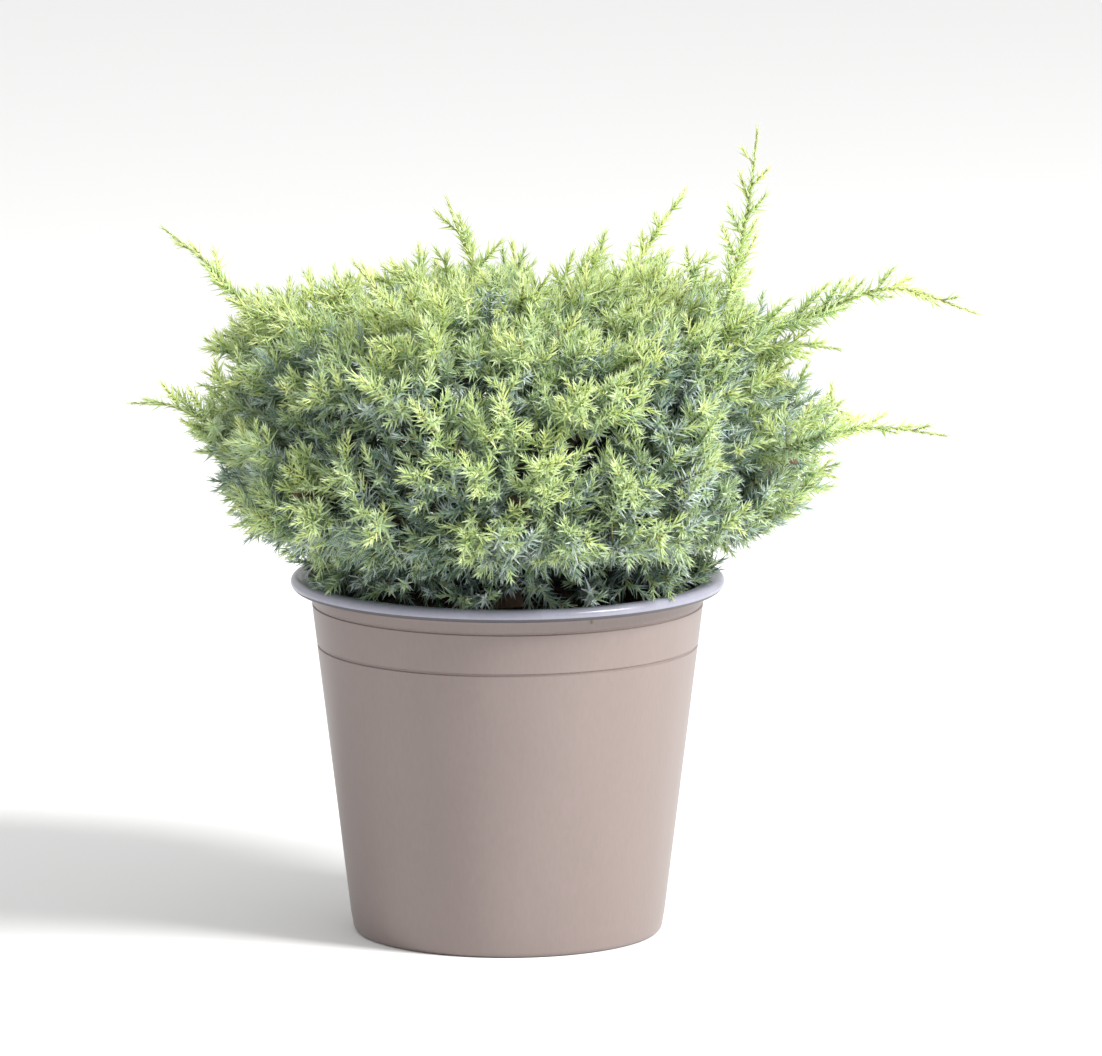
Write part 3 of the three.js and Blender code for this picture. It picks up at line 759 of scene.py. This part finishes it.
def whorls_of(shoot):
    """Each whorl's place and heading, how far its needles have opened, and its roll."""
    places, headings, travelled = walk(shoot.path, 24)
    total = travelled[-1]
    backs = np.arange(BARE_TIP, min(shoot.bearing, total - BARE_ROOT), WHORL_SPACING)
    stops = total - backs

    def at_stops(values):
        return np.stack([np.interp(stops, travelled, values[:, axis]) for axis in range(3)], 1)

    roll = shoot.roll + np.arange(len(backs)) * math.pi / 3
    return at_stops(places), unit(at_stops(headings)), backs * RANKS[shoot.rank]["opening"], roll


def deal_colours(shoot, draw):
    """The colour of a shoot's new growth and of its older needles, by where its tip lies."""
    tip = shoot.path.at(1)[0]
    height = (tip[2] - POT_HEIGHT) / 100
    patch = math.sin(tip[0] / 17 + 2 * math.sin(tip[1] / 23)) * math.cos(tip[1] / 19 + tip[2] / 15)
    # Tips higher up get paler colours. The shade term darkens tips deep in a valley or near a border between
    # masses as painted shade, and adds each plume's own tone.
    bright = 0.23 + 0.7 * height + 0.16 * patch - 0.45 * shoot.shade + spread(draw, 0.14)
    chance = draw()
    _, *choices = next(row for row in TONES[shoot.layer] if bright > row[0])
    return [colour if chance < share else other for colour, share, other in choices]


def sort_whorls(shoots):
    """The whorls of every shoot, sorted into one set for each colour."""
    sets = {name: [] for name in COLOURS}
    for order, shoot in enumerate(shoots):
        draw = seeded(KEYS["colours"], order)
        new, old = deal_colours(shoot, draw)
        at, heading, back, roll = whorls_of(shoot)
        keep = clear_of_pot(at, NEEDLE_CLEARANCE)
        young = back < NEW_GROWTH * (0.7 + 0.6 * draw())
        for name, chosen in ((new, keep & young), (old, keep & ~young)):
            if chosen.any():
                sets[name].append((at[chosen], heading[chosen], back[chosen], roll[chosen]))
    return {
        name: [np.concatenate(column) for column in zip(*rows)]
        for name, rows in sets.items()
        if rows
    }


# Node trees


class Sockets:
    """Short ways to place and join the nodes of one tree."""

    def __init__(self, tree):
        self.tree = tree

    def add(self, kind, values=None, **settings):
        """A node, with its inputs by name or number: each a value or another node's output."""
        node = self.tree.nodes.new(kind)
        for key, value in settings.items():
            setattr(node, key, value)
        for key, value in (values or {}).items():
            if isinstance(value, bpy.types.NodeSocket):
                self.tree.links.new(value, node.inputs[key])
            else:
                node.inputs[key].default_value = value
        return node

    def join(self, output, socket):
        self.tree.links.new(output, socket)

    def calculate(self, operation, *values):
        return self.add("ShaderNodeMath", dict(enumerate(values)), operation=operation).outputs[0]

    def ranged(self, value, low, high):
        """A value from 0 to 1 moved to lie between two others."""
        values = {"Value": value, "To Min": low, "To Max": high}
        return self.add("ShaderNodeMapRange", values).outputs[0]

    def drawn(self, low, high, seed):
        """A number drawn by lot between two others."""
        values = {2: low, 3: high, "Seed": seed}
        return self.add("FunctionNodeRandomValue", values, data_type="FLOAT").outputs[1]

    def stored(self, name, data_type):
        """An attribute of the mesh that the tree is given."""
        node = self.add("GeometryNodeInputNamedAttribute", {"Name": name}, data_type=data_type)
        return node.outputs["Attribute"]

    def placed(self, points, item, rotation, scale):
        """Copies of an object on the points, as one plain mesh."""
        form = self.add("GeometryNodeObjectInfo", {"Object": item}).outputs["Geometry"]
        values = {"Points": points, "Instance": form, "Rotation": rotation, "Scale": scale}
        copies = self.add("GeometryNodeInstanceOnPoints", values).outputs[0]
        return self.add("GeometryNodeRealizeInstances", {"Geometry": copies}).outputs[0]

    def coloured(self, geometry, finish, selection=True):
        values = {"Geometry": geometry, "Selection": selection, "Material": finish}
        return self.add("GeometryNodeSetMaterial", values).outputs[0]


def new_group(name, kind, inputs, outputs):
    """A tree with named inputs and outputs: a label, its kind of socket and perhaps a value."""
    tree = bpy.data.node_groups.new(name, kind)
    for label, socket, *value in inputs:
        made = tree.interface.new_socket(label, in_out="INPUT", socket_type=f"NodeSocket{socket}")
        if value:
            made.default_value = value[0]
    for label, socket in outputs:
        tree.interface.new_socket(label, in_out="OUTPUT", socket_type=f"NodeSocket{socket}")
    sockets = Sockets(tree)
    return tree, sockets, sockets.add("NodeGroupInput").outputs, sockets.add("NodeGroupOutput").inputs


def geometry_tree(name, inputs):
    geometry = ("Geometry", "Geometry")
    return new_group(name, "GeometryNodeTree", [geometry, *inputs], [geometry])


# Materials


def plain_finish(name, colour, roughness, specular, glow=0.0):
    """A finish of one colour. Light that glows through thin parts makes their shade softer."""
    material = bpy.data.materials.new(name)
    material.use_nodes = True
    shader = material.node_tree.nodes["Principled BSDF"]
    shader.inputs["Base Color"].default_value = (*colour, 1)
    shader.inputs["Roughness"].default_value = roughness
    shader.inputs["Specular IOR Level"].default_value = specular
    shader.inputs["Subsurface Weight"].default_value = glow
    shader.inputs["Subsurface Radius"].default_value = GLOW_TINT
    shader.inputs["Subsurface Scale"].default_value = MM
    return material


def mottle_group():
    """Uneven tint: a broad cloud and a fine grain, mixed into one value round a half."""
    tree, s, given, result = new_group(
        "mottle",
        "ShaderNodeTree",
        [("Cloud Size", "Float", 25.0), ("Grain Size", "Float", 900.0),
         ("Grain Share", "Float", 0.3), ("Stretch", "Float", 1.0)],
        [("Tint", "Float"), ("Grain", "Float")],
    )
    place = s.add("ShaderNodeTexCoord").outputs["Object"]
    squeeze = s.add("ShaderNodeCombineXYZ", {"X": 1.0, "Y": 1.0, "Z": given["Stretch"]})
    scaled = s.add("ShaderNodeVectorMath", {0: place, 1: squeeze.outputs[0]}, operation="MULTIPLY")

    def noise(size, detail):
        values = {"Vector": scaled.outputs[0], "Scale": given[size], "Detail": detail}
        return s.add("ShaderNodeTexNoise", values).outputs[0]

    cloud = noise("Cloud Size", 4.0)
    grain = noise("Grain Size", 3.0)
    mixed = s.add("ShaderNodeMix", {0: given["Grain Share"], 2: cloud, 3: grain})
    s.join(mixed.outputs[0], result["Tint"])
    s.join(grain, result["Grain"])
    return tree


def shaded_finish(name, effects, tints, roughness, bump, mottle):
    """A finish whose colour moves between two tints and whose grain stands out a little."""
    material = bpy.data.materials.new(name)
    material.use_nodes = True
    s = Sockets(material.node_tree)
    shader = material.node_tree.nodes["Principled BSDF"]
    effect = s.add("ShaderNodeGroup", mottle, node_tree=effects)
    tint = s.add("ShaderNodeValToRGB", {"Fac": effect.outputs["Tint"]})
    for stop, position, colour in zip(tint.color_ramp.elements, TINT_RANGE, tints):
        stop.position = position
        stop.color = (*colour, 1)
    strength, distance = bump
    relief = s.add(
        "ShaderNodeBump",
        {"Height": effect.outputs["Grain"], "Strength": strength, "Distance": distance},
    )
    s.join(tint.outputs[0], shader.inputs["Base Color"])
    s.join(s.ranged(effect.outputs["Tint"], *roughness), shader.inputs["Roughness"])
    s.join(relief.outputs[0], shader.inputs["Normal"])
    return material


# Meshes


def add_object(name, data):
    made = bpy.data.objects.new(name, data)
    bpy.context.scene.collection.objects.link(made)
    return made


def remove(piece):
    mesh = piece.data
    bpy.data.objects.remove(piece)
    bpy.data.meshes.remove(mesh)


def shade_smooth(mesh):
    mesh.polygons.foreach_set("use_smooth", [True] * len(mesh.polygons))


def mesh_object(name, vertices, faces, edges=(), smooth=False):
    """An object at the origin whose mesh is given in millimetres."""
    mesh = bpy.data.meshes.new(name)
    mesh.from_pydata((np.asarray(vertices) * MM).tolist(), edges, faces)
    mesh.validate()
    if smooth:
        shade_smooth(mesh)
    return add_object(name, mesh)


def give_attribute(piece, name, kind, values):
    """Stores a value for each point of a mesh, or for each face if the values are yes or no."""
    attribute = piece.data.attributes.new(name, kind, "FACE" if kind == "BOOLEAN" else "POINT")
    attribute.data.foreach_set("vector" if kind == "FLOAT_VECTOR" else "value", np.ravel(values))


def baked(name, source, smooth=False):
    """A plain mesh object of what a source's modifiers make; the source is removed."""
    evaluated = source.evaluated_get(bpy.context.evaluated_depsgraph_get())
    mesh = bpy.data.meshes.new_from_object(evaluated)
    mesh.name = name
    piece = add_object(name, mesh)
    remove(source)
    if smooth:
        shade_smooth(mesh)
    return piece


def grown(name, source, tree, inputs, smooth=False):
    """What a node tree makes of a source. Each input is found by its socket's identifier."""
    modifier = source.modifiers.new(tree.name, "NODES")
    modifier.node_group = tree
    for item in tree.interface.items_tree:
        if item.item_type == "SOCKET" and item.in_out == "INPUT" and item.name in inputs:
            modifier[item.identifier] = inputs[item.name]
    return baked(name, source, smooth)


def circle(radius, sides, height):
    angles = np.arange(sides) * 2 * math.pi / sides
    return [(radius * math.cos(a), radius * math.sin(a), height) for a in angles]


def ring_faces(first, rings, sides):
    """The faces between neighbouring rings of vertices, which are numbered from the first one on."""
    faces = []
    for k in range(rings - 1):
        for j in range(sides):
            a = first + k * sides + j
            b = first + k * sides + (j + 1) % sides
            faces.append((a, b, b + sides, a + sides))
    return faces


# Needles: one tree turns a set of whorl points into joined needles


def needle_form():
    """One awl-shaped needle a unit long: a keeled root and its apex, bent in a little. Its upper
    side, the first face, is flat and faces the tip of the shoot."""
    half_width = 0.1
    vertices = [(-half_width, 0.03, 0), (half_width, 0.03, 0), (0, -0.08, 0.02), (0, 0.07, 1)]
    faces = [(0, 1, 3), (1, 2, 3), (2, 0, 3), (0, 2, 1)]
    form = mesh_object("needle_form", np.array(vertices) / MM, faces)
    give_attribute(form, "upper_side", "BOOLEAN", [True, False, False, False])
    return form


def needle_tree():
    tree, s, given, result = geometry_tree(
        "whorled_needles",
        [("Needle", "Object"), ("Length", "Float"), ("Length Spread", "Float", 0.2),
         ("Tip Length Share", "Float", 0.6), ("Tip Lean", "Float", 0.35), ("Lean", "Float", 0.95),
         ("Opening Distance", "Float", 7.0), ("Jitter", "Float", 0.18), ("Seed", "Int"),
         ("Outer Finish", "Material"), ("Upper Finish", "Material")],
    )

    def chance(low, high, offset):
        return s.drawn(low, high, s.calculate("ADD", given["Seed"], offset))

    def turned(rotation, axis, angle):
        local = s.add("FunctionNodeAxisAngleToRotation", {"Axis": axis, "Angle": angle}).outputs[0]
        both = s.add("FunctionNodeRotateRotation", {0: rotation, 1: local}, rotation_space="LOCAL")
        return both.outputs[0]

    points = s.add("GeometryNodeMeshToPoints", {"Mesh": given["Geometry"]}).outputs[0]
    copies = {"Geometry": points, "Amount": 3}
    three = s.add("GeometryNodeDuplicateElements", copies, domain="POINT")
    opening = {
        "Value": s.stored("back", "FLOAT"),
        "From Max": given["Opening Distance"],
        "To Min": 0.0,
        "To Max": 1.0,
    }
    openness = s.add("ShaderNodeMapRange", opening, interpolation_type="SMOOTHSTEP").outputs[0]
    lean = s.ranged(openness, given["Tip Lean"], given["Lean"])
    uneven = s.calculate("MULTIPLY", chance(-1.0, 1.0, 11.0), given["Jitter"])
    third = s.calculate("MULTIPLY", three.outputs["Duplicate Index"], 2 * math.pi / 3)
    swing = s.calculate("MULTIPLY", chance(-1.0, 1.0, 23.0), given["Jitter"])
    spin = s.calculate("ADD", s.calculate("ADD", s.stored("roll", "FLOAT"), third), swing)
    heading = s.stored("heading", "FLOAT_VECTOR")
    facing = s.add("FunctionNodeAlignRotationToVector", {"Vector": heading}, axis="Z").outputs[0]
    rotation = turned(facing, (0, 0, 1), spin)
    rotation = turned(rotation, (1, 0, 0), s.calculate("ADD", lean, uneven))
    grown_share = s.ranged(openness, given["Tip Length Share"], 1.0)
    low = s.calculate("SUBTRACT", 1.0, given["Length Spread"])
    high = s.calculate("ADD", 1.0, given["Length Spread"])
    share = s.calculate("MULTIPLY", grown_share, s.ranged(chance(0.0, 1.0, 37.0), low, high))
    size = s.calculate("MULTIPLY", share, given["Length"])
    joined = s.placed(three.outputs[0], given["Needle"], rotation, size)
    outer = s.coloured(joined, given["Outer Finish"])
    upper = s.coloured(outer, given["Upper Finish"], s.stored("upper_side", "BOOLEAN"))
    s.join(upper, result[0])
    return tree


def make_needles(sets):
    tree = needle_tree()
    form = needle_form()
    pieces = []
    for order, (name, (at, heading, back, roll)) in enumerate(sets.items()):
        outer, upper = COLOURS[name]
        cloud = mesh_object(f"{name}_points", at, [])
        give_attribute(cloud, "heading", "FLOAT_VECTOR", heading.astype(np.float32))
        give_attribute(cloud, "back", "FLOAT", back.astype(np.float32))
        give_attribute(cloud, "roll", "FLOAT", roll.astype(np.float32))
        inputs = {
            "Needle": form,
            "Length": NEEDLE_LENGTH * MM,
            "Seed": NEEDLE_SEED + order,
            "Outer Finish": plain_finish(f"{name}_needle", outer, OUTER_ROUGHNESS, **NEEDLE_FINISH),
            "Upper Finish": plain_finish(f"{name}_needle_upper", upper, UPPER_ROUGHNESS, **NEEDLE_FINISH),
        }
        pieces.append(grown(f"needles_{name}", cloud, tree, inputs))
    remove(form)
    return pieces


# Twigs: one tree sweeps a thin tapering stem along every shoot


def twig_tree():
    tree, s, given, result = geometry_tree("stems", [("Sides", "Int"), ("Finish", "Material")])
    paths = s.add("GeometryNodeMeshToCurve", {"Mesh": given["Geometry"]}).outputs[0]
    section = s.add("GeometryNodeCurvePrimitiveCircle", {"Resolution": given["Sides"], "Radius": 1.0})
    sweep = {
        "Curve": paths,
        "Profile Curve": section.outputs["Curve"],
        "Scale": s.stored("thickness", "FLOAT"),
        "Fill Caps": True,
    }
    swept = s.add("GeometryNodeCurveToMesh", sweep).outputs[0]
    joined = s.add("GeometryNodeRealizeInstances", {"Geometry": swept}).outputs[0]
    s.join(s.coloured(joined, given["Finish"]), result[0])
    return tree


def stem_paths(name, shoots):
    vertices = []
    edges = []
    thickness = []
    for shoot in shoots:
        steps = RANKS[shoot.rank]["steps"]
        first = len(vertices)
        vertices += shoot.path.at(np.linspace(0, 1, steps + 1)).tolist()
        thickness += np.linspace(*RANKS[shoot.rank]["stem"], steps + 1).tolist()
        edges += [(first + i, first + i + 1) for i in range(steps)]
    paths = mesh_object(name, vertices, [], edges)
    give_attribute(paths, "thickness", "FLOAT", np.array(thickness, np.float32) * MM)
    return paths


def make_twigs(shoots):
    def woody(shoot):
        return shoot.rank == "twig" or shoot.layer in ("middle", "inner")

    tree = twig_tree()
    kinds = {
        "twigs_woody": ([shoot for shoot in shoots if woody(shoot)], WOODY_COLOUR, 4),
        "twigs_green": ([shoot for shoot in shoots if not woody(shoot)], GREEN_STEM_COLOUR, 3),
    }
    pieces = []
    for name, (chosen, colour, sides) in kinds.items():
        inputs = {"Sides": sides, "Finish": plain_finish(name, colour, 0.75, 0.3)}
        pieces.append(grown(name, stem_paths(f"{name}_paths", chosen), tree, inputs, smooth=True))
    return pieces


# Bark: trunk, boughs and the stems inside the masses, with ridges and flakes in the mesh


def bark_limb(path, stations, radii, sides, relief, draw):
    """A closed tapering limb whose surface is lifted in long uneven ridges."""
    places = path.at(stations)
    headings = path.heading(stations)
    side = unit(np.cross(headings[0], (0.3, 1, 0.1)))
    phase = [any_turn(draw) for _ in range(4)]
    travelled = np.concatenate([[0], np.cumsum(np.linalg.norm(np.diff(places, axis=0), axis=1))])
    angles = np.arange(sides) * 2 * math.pi / sides
    rings = []
    for k, (place, heading) in enumerate(zip(places, headings)):
        side = unit(side - heading * np.dot(side, heading))
        other = np.cross(heading, side)
        drift = angles + 0.25 * math.sin(travelled[k] / 5 + phase[0])
        ridge = np.sin(4 * drift + phase[1]) + 0.7 * np.sin(7 * drift + travelled[k] * 0.5 + phase[2])
        flake = np.sin(travelled[k] * 2.1 + 3 * np.sin(3 * drift + phase[3]))
        radius = radii[k] * (1 + relief * (0.6 * ridge + 0.4 * flake))
        around = np.outer(np.cos(angles), side) + np.outer(np.sin(angles), other)
        rings.append(place + radius[:, None] * around)
    last = (len(stations) - 1) * sides
    caps = [tuple(reversed(range(sides))), tuple(range(last, last + sides))]
    return np.concatenate(rings), ring_faces(0, len(stations), sides) + caps


def make_bark(finish):
    t = np.linspace(0, 1, TRUNK_STATIONS)
    flare = (TRUNK_FLARE_RADIUS - TRUNK_RADIUS) * np.maximum(0, 1 - t / FLARE_SHARE) ** 2
    radii = TRUNK_RADIUS + (TRUNK_TOP_RADIUS - TRUNK_RADIUS) * t + flare
    limbs = [bark_limb(trunk_path, t, radii, TRUNK_SIDES, TRUNK_RELIEF, seeded(KEYS["trunk"]))]
    t = np.linspace(0, 1, BOUGH_STATIONS)
    for index, mass in enumerate(masses):
        share = np.minimum(1, t / mass["entry"])
        beyond = np.maximum(0, (t - mass["entry"]) / (1 - mass["entry"]))
        radii = BOUGH_BASE_RADIUS + (BOUGH_TIP_RADIUS - BOUGH_BASE_RADIUS) * share
        radii = radii + (STEM_TIP_RADIUS - BOUGH_TIP_RADIUS) * beyond
        draw = seeded(KEYS["boughs"], index)
        limbs.append(bark_limb(mass["path"], t, radii, BOUGH_SIDES, BOUGH_RELIEF, draw))
    faces = []
    offset = 0
    for vertices, limb_faces in limbs:
        faces += [tuple(i + offset for i in face) for face in limb_faces]
        offset += len(vertices)
    piece = mesh_object("bark", np.concatenate([limb[0] for limb in limbs]), faces, smooth=True)
    piece.data.materials.append(finish)
    return piece


# The pot and the peat


def turned_shell(name, profile, segments):
    """A closed shell turned round Z from a profile that starts and ends on the axis."""
    vertices = [(0, 0, profile[0][1])]
    for radius, height in profile[1:-1]:
        vertices += circle(radius, segments, height)
    vertices.append((0, 0, profile[-1][1]))
    rings = len(profile) - 2
    last = 1 + (rings - 1) * segments
    end = len(vertices) - 1
    faces = [(0, 1 + (j + 1) % segments, 1 + j) for j in range(segments)]
    faces += ring_faces(1, rings, segments)
    faces += [(last + j, last + (j + 1) % segments, end) for j in range(segments)]
    return mesh_object(name, vertices, faces)


def pot_radius_at(height):
    return POT_FOOT_RADIUS + POT_DRAFT * height


def arc(centre, radius, start, end, steps):
    angles = np.radians(np.linspace(start, end, steps + 1))
    return [(centre[0] + radius * math.cos(a), centre[1] + radius * math.sin(a)) for a in angles]


def groove(height, depth, half_height):
    """A fine line pressed into the wall."""
    return [
        (pot_radius_at(height - half_height), height - half_height),
        (pot_radius_at(height - half_height * 0.4) - depth, height - half_height * 0.4),
        (pot_radius_at(height + half_height * 0.4) - depth, height + half_height * 0.4),
        (pot_radius_at(height + half_height), height + half_height),
    ]


def pot_profile():
    """The outside from the middle of the foot up to the lip, then the inside down to the floor."""
    wall_top = pot_radius_at(POT_HEIGHT)
    roll = POT_ROUNDING
    outer = [(0, 0), (POT_FOOT_RADIUS - 6, 0), (POT_FOOT_RADIUS - 2.4, 0)]
    outer += arc((POT_FOOT_RADIUS - roll, roll), roll, -75, -8, 5)
    outer += [(pot_radius_at(h), h) for h in (6, 20, 40, 60, 78)]
    outer += groove(COLLAR_LINE_Z, 0.45, 0.5)
    outer += [(pot_radius_at(93), 93)]
    outer += groove(RIM_LINE_Z, 0.4, 0.45)
    outer += [(pot_radius_at(102.6), 102.6), (wall_top - 0.2, POT_HEIGHT - 4.2)]
    outer += [(wall_top + 0.5, POT_HEIGHT - 3.7)]
    outer += arc((POT_RIM_RADIUS - roll, POT_HEIGHT - roll), roll, -80, 95, 12)
    inner = [(wall_top + 1.2, POT_HEIGHT - 0.15), (wall_top + 0.1, POT_HEIGHT - 0.5)]
    inner += [(wall_top - 0.6, POT_HEIGHT - 1.6)]
    inner += [(pot_radius_at(h) - POT_WALL, h) for h in (104, 98, 80, 50, 20, POT_FLOOR + 1.2)]
    inner += [(POT_FOOT_RADIUS - 3.2, POT_FLOOR), (0, POT_FLOOR)]
    return outer + inner


def drill_object():
    """A round drill for each drain hole."""
    turns = (np.arange(DRAIN_HOLES) + 0.5) / DRAIN_HOLES * 2 * math.pi
    vertices = []
    faces = []
    for turn in turns:
        x = math.cos(turn) * DRAIN_CIRCLE_RADIUS
        y = math.sin(turn) * DRAIN_CIRCLE_RADIUS
        offset = len(vertices)
        for height in (-DRILL_REACH, DRILL_REACH):
            ring = circle(DRAIN_HOLE_RADIUS, DRILL_SIDES, height)
            vertices += [(x + dx, y + dy, z) for dx, dy, z in ring]
        faces.append(tuple(offset + j for j in reversed(range(DRILL_SIDES))))
        faces.append(tuple(offset + DRILL_SIDES + j for j in range(DRILL_SIDES)))
        faces += ring_faces(offset, 2, DRILL_SIDES)
    return mesh_object("drill", vertices, faces)


def pot_finish_at(place, normal):
    """0 on the body, 1 on the lip's roll (its pale tint partly painted reflection), 2 on the dark inside and
    under the roll as a painted shadow line.
    """
    radius = math.hypot(place.x, place.y)
    if place.z > POT_HEIGHT - LIP_DEPTH and radius > pot_radius_at(POT_HEIGHT) + 0.3:
        # The roll's downward faces take the dark finish as a painted shadow line under the lip.
        return 2 if normal.z < -0.25 else 1
    inside = radius < pot_radius_at(place.z) - 0.62 * POT_WALL and place.z > POT_FLOOR * 0.5
    return 2 if inside or place.z > POT_HEIGHT - 1.4 else 0


def crease_sharp_edges(piece, angle):
    mesh = bmesh.new()
    mesh.from_mesh(piece.data)
    for edge in mesh.edges:
        edge.smooth = len(edge.link_faces) == 2 and edge.calc_face_angle(0) < angle
    mesh.to_mesh(piece.data)
    mesh.free()


def make_pot(body_finish, lip_finish_and_painted_reflection, inner_and_painted_shade_finish):
    shell = turned_shell("pot_shell", pot_profile(), POT_SEGMENTS)
    cutter = drill_object()
    cut = shell.modifiers.new("drain_holes", "BOOLEAN")
    cut.object = cutter
    cut.operation = "DIFFERENCE"
    cut.solver = "EXACT"
    pot = baked("nursery_pot", shell, smooth=True)
    remove(cutter)
    pot.data.materials.clear()
    for finish in (body_finish, lip_finish_and_painted_reflection, inner_and_painted_shade_finish):
        pot.data.materials.append(finish)
    for polygon in pot.data.polygons:
        polygon.material_index = pot_finish_at(polygon.center / MM, polygon.normal)
    crease_sharp_edges(pot, SHARP_EDGE)
    return pot


def peat_height(x, y):
    edge = pot_radius_at(SOIL_TOP_Z) - POT_WALL - GAP
    radius = np.hypot(x, y) / edge
    lumps = 0.9 * np.sin(x / 5.1 + 1.3 * np.sin(y / 6.3)) * np.sin(y / 4.7 + np.sin(x / 7.7))
    fine = 0.5 * np.sin(x / 1.9 + 2 * np.sin(y / 2.3)) * np.sin(y / 1.7)
    return float(SOIL_TOP_Z - 1.2 - SOIL_EDGE_DROP * radius**2 + (lumps + fine) * 0.7)


def make_peat(finish):
    """Rings of points from the middle of the uneven top out to its edge, then one at the foot."""
    edge_z = SOIL_TOP_Z - SOIL_EDGE_DROP - 0.6
    edge = pot_radius_at(edge_z) - POT_WALL - GAP
    vertices = [(0, 0, peat_height(0, 0))]
    for k in range(1, PEAT_RINGS):
        ring = circle(edge * k / PEAT_RINGS, PEAT_SEGMENTS, 0)
        vertices += [(x, y, peat_height(x, y)) for x, y, _ in ring]
    vertices += circle(edge, PEAT_SEGMENTS, edge_z - 1.2)
    foot_radius = pot_radius_at(PEAT_FOOT_Z) - POT_WALL - 2 * GAP
    foot = len(vertices)
    vertices += circle(foot_radius, PEAT_SEGMENTS, PEAT_FOOT_Z)
    faces = [(0, 1 + j, 1 + (j + 1) % PEAT_SEGMENTS) for j in range(PEAT_SEGMENTS)]
    faces += [(a, d, c, b) for a, b, c, d in ring_faces(1, PEAT_RINGS + 1, PEAT_SEGMENTS)]
    faces.append(tuple(foot + j for j in reversed(range(PEAT_SEGMENTS))))
    peat = mesh_object("peat", vertices, faces, smooth=True)
    peat.data.materials.append(finish)
    return peat


def crumb_form():
    """One peat crumb a unit across: a lumpy ball of few faces."""
    mesh = bpy.data.meshes.new("crumb_form")
    ball = bmesh.new()
    bmesh.ops.create_icosphere(ball, subdivisions=1, radius=0.5)
    draw = seeded(KEYS["crumb"])
    for vertex in ball.verts:
        vertex.co *= 0.75 + 0.5 * draw()
    ball.to_mesh(mesh)
    ball.free()
    return add_object("crumb_form", mesh)


def crumb_tree():
    tree, s, given, result = geometry_tree(
        "peat_crumbs",
        [("Crumb", "Object"), ("Smallest", "Float", 0.0012), ("Largest", "Float", 0.0042),
         ("Seed", "Int"), ("Finish", "Material")],
    )
    points = s.add("GeometryNodeMeshToPoints", {"Mesh": given["Geometry"]}).outputs[0]
    size = s.drawn(given["Smallest"], given["Largest"], given["Seed"])
    turns = {1: (6.3, 6.3, 6.3), "Seed": given["Seed"]}
    turn = s.add("FunctionNodeRandomValue", turns, data_type="FLOAT_VECTOR").outputs[0]
    facing = s.add("FunctionNodeEulerToRotation", {0: turn}).outputs[0]
    joined = s.placed(points, given["Crumb"], facing, size)
    s.join(s.coloured(joined, given["Finish"]), result[0])
    return tree


def make_crumbs(finish):
    """Loose crumbs over the peat, but not where the trunk stands."""
    draw = seeded(KEYS["crumbs"])
    reach = pot_radius_at(SOIL_TOP_Z) - POT_WALL - 2.6
    places = []
    for _ in range(CRUMBS):
        radius = reach * math.sqrt(draw())
        turn = 2 * math.pi * draw()
        x, y = radius * math.cos(turn), radius * math.sin(turn)
        if radius > TRUNK_FLARE_RADIUS + 2:
            places.append((x, y, peat_height(x, y) + 0.3))
    cloud = mesh_object("crumb_points", places, [])
    form = crumb_form()
    crumbs = grown("peat_crumbs", cloud, crumb_tree(), {"Crumb": form, "Seed": CRUMB_SEED, "Finish": finish})
    remove(form)
    return crumbs


# Floor, light and camera


def make_floor():
    size = FLOOR_HALF_SIZE
    corners = [(-size, -size, 0), (size, -size, 0), (size, size, 0), (-size, size, 0)]
    floor = mesh_object("floor", corners, [(0, 1, 2, 3)])
    floor.data.materials.append(plain_finish("pale_floor", (0.86, 0.86, 0.86), 0.9, 0.1))


def add_light(name, place, size, power, colour):
    data = bpy.data.lights.new(name, "AREA")
    data.shape = "DISK"
    data.size = size
    data.energy = power
    data.color = colour
    light = add_object(name, data)
    light.location = Vector(place)
    light.rotation_euler = (Vector(LIGHT_TARGET) - light.location).to_track_quat("-Z", "Y").to_euler()


def make_lights():
    world = bpy.data.worlds.new("studio")
    world.use_nodes = True
    background = world.node_tree.nodes["Background"]
    background.inputs["Color"].default_value = (1, 1, 1, 1)
    background.inputs["Strength"].default_value = WORLD_STRENGTH
    bpy.context.scene.world = world
    bpy.context.scene.view_settings.view_transform = "Standard"
    add_light("key", **KEY_LIGHT)


def make_camera():
    """Long lens a little above the plant, as wide as the part and its margins."""
    data = bpy.data.cameras.new("camera")
    data.sensor_width = SENSOR_WIDTH
    data.lens = SENSOR_WIDTH * CAMERA_DISTANCE / FRAME_WIDTH
    camera = add_object("camera", data)
    back = Vector((0, -math.cos(CAMERA_ELEVATION), math.sin(CAMERA_ELEVATION)))
    camera.location = Vector(CAMERA_TARGET) + back * CAMERA_DISTANCE
    camera.rotation_euler = (-back).to_track_quat("-Z", "Y").to_euler()
    bpy.context.scene.camera = camera


# The whole

mottle = mottle_group()
finishes = {name: shaded_finish(name, mottle, **values) for name, values in FINISHES.items()}

shoots = grow_masses() + grow_leaders()
needles = make_needles(sort_whorls(shoots))
twigs = make_twigs(shoots)
bark = make_bark(finishes["bark"])
pot = make_pot(finishes["taupe_plastic"], finishes["slate_lip_plastic_and_painted_reflection"], finishes["dark_plastic_and_painted_shade"])
peat = make_peat(finishes["peat"])
crumbs = make_crumbs(finishes["peat"])

nodes = list(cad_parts)
foliage_nodes = [name for name in nodes if name.startswith("foliage_")]
limb_nodes = [name for name in nodes if name == "trunk" or name.startswith("bough_")]
for piece in needles:
    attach(piece, "root")
    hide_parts(*foliage_nodes)
for piece in twigs:
    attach(piece, "root")
    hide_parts(*foliage_nodes)
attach(bark, "root")
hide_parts(*limb_nodes)
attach(pot, "root")
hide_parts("pot")
for piece in (peat, crumbs):
    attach(piece, "root")
    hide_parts("soil")

make_floor()
make_lights()
make_camera()
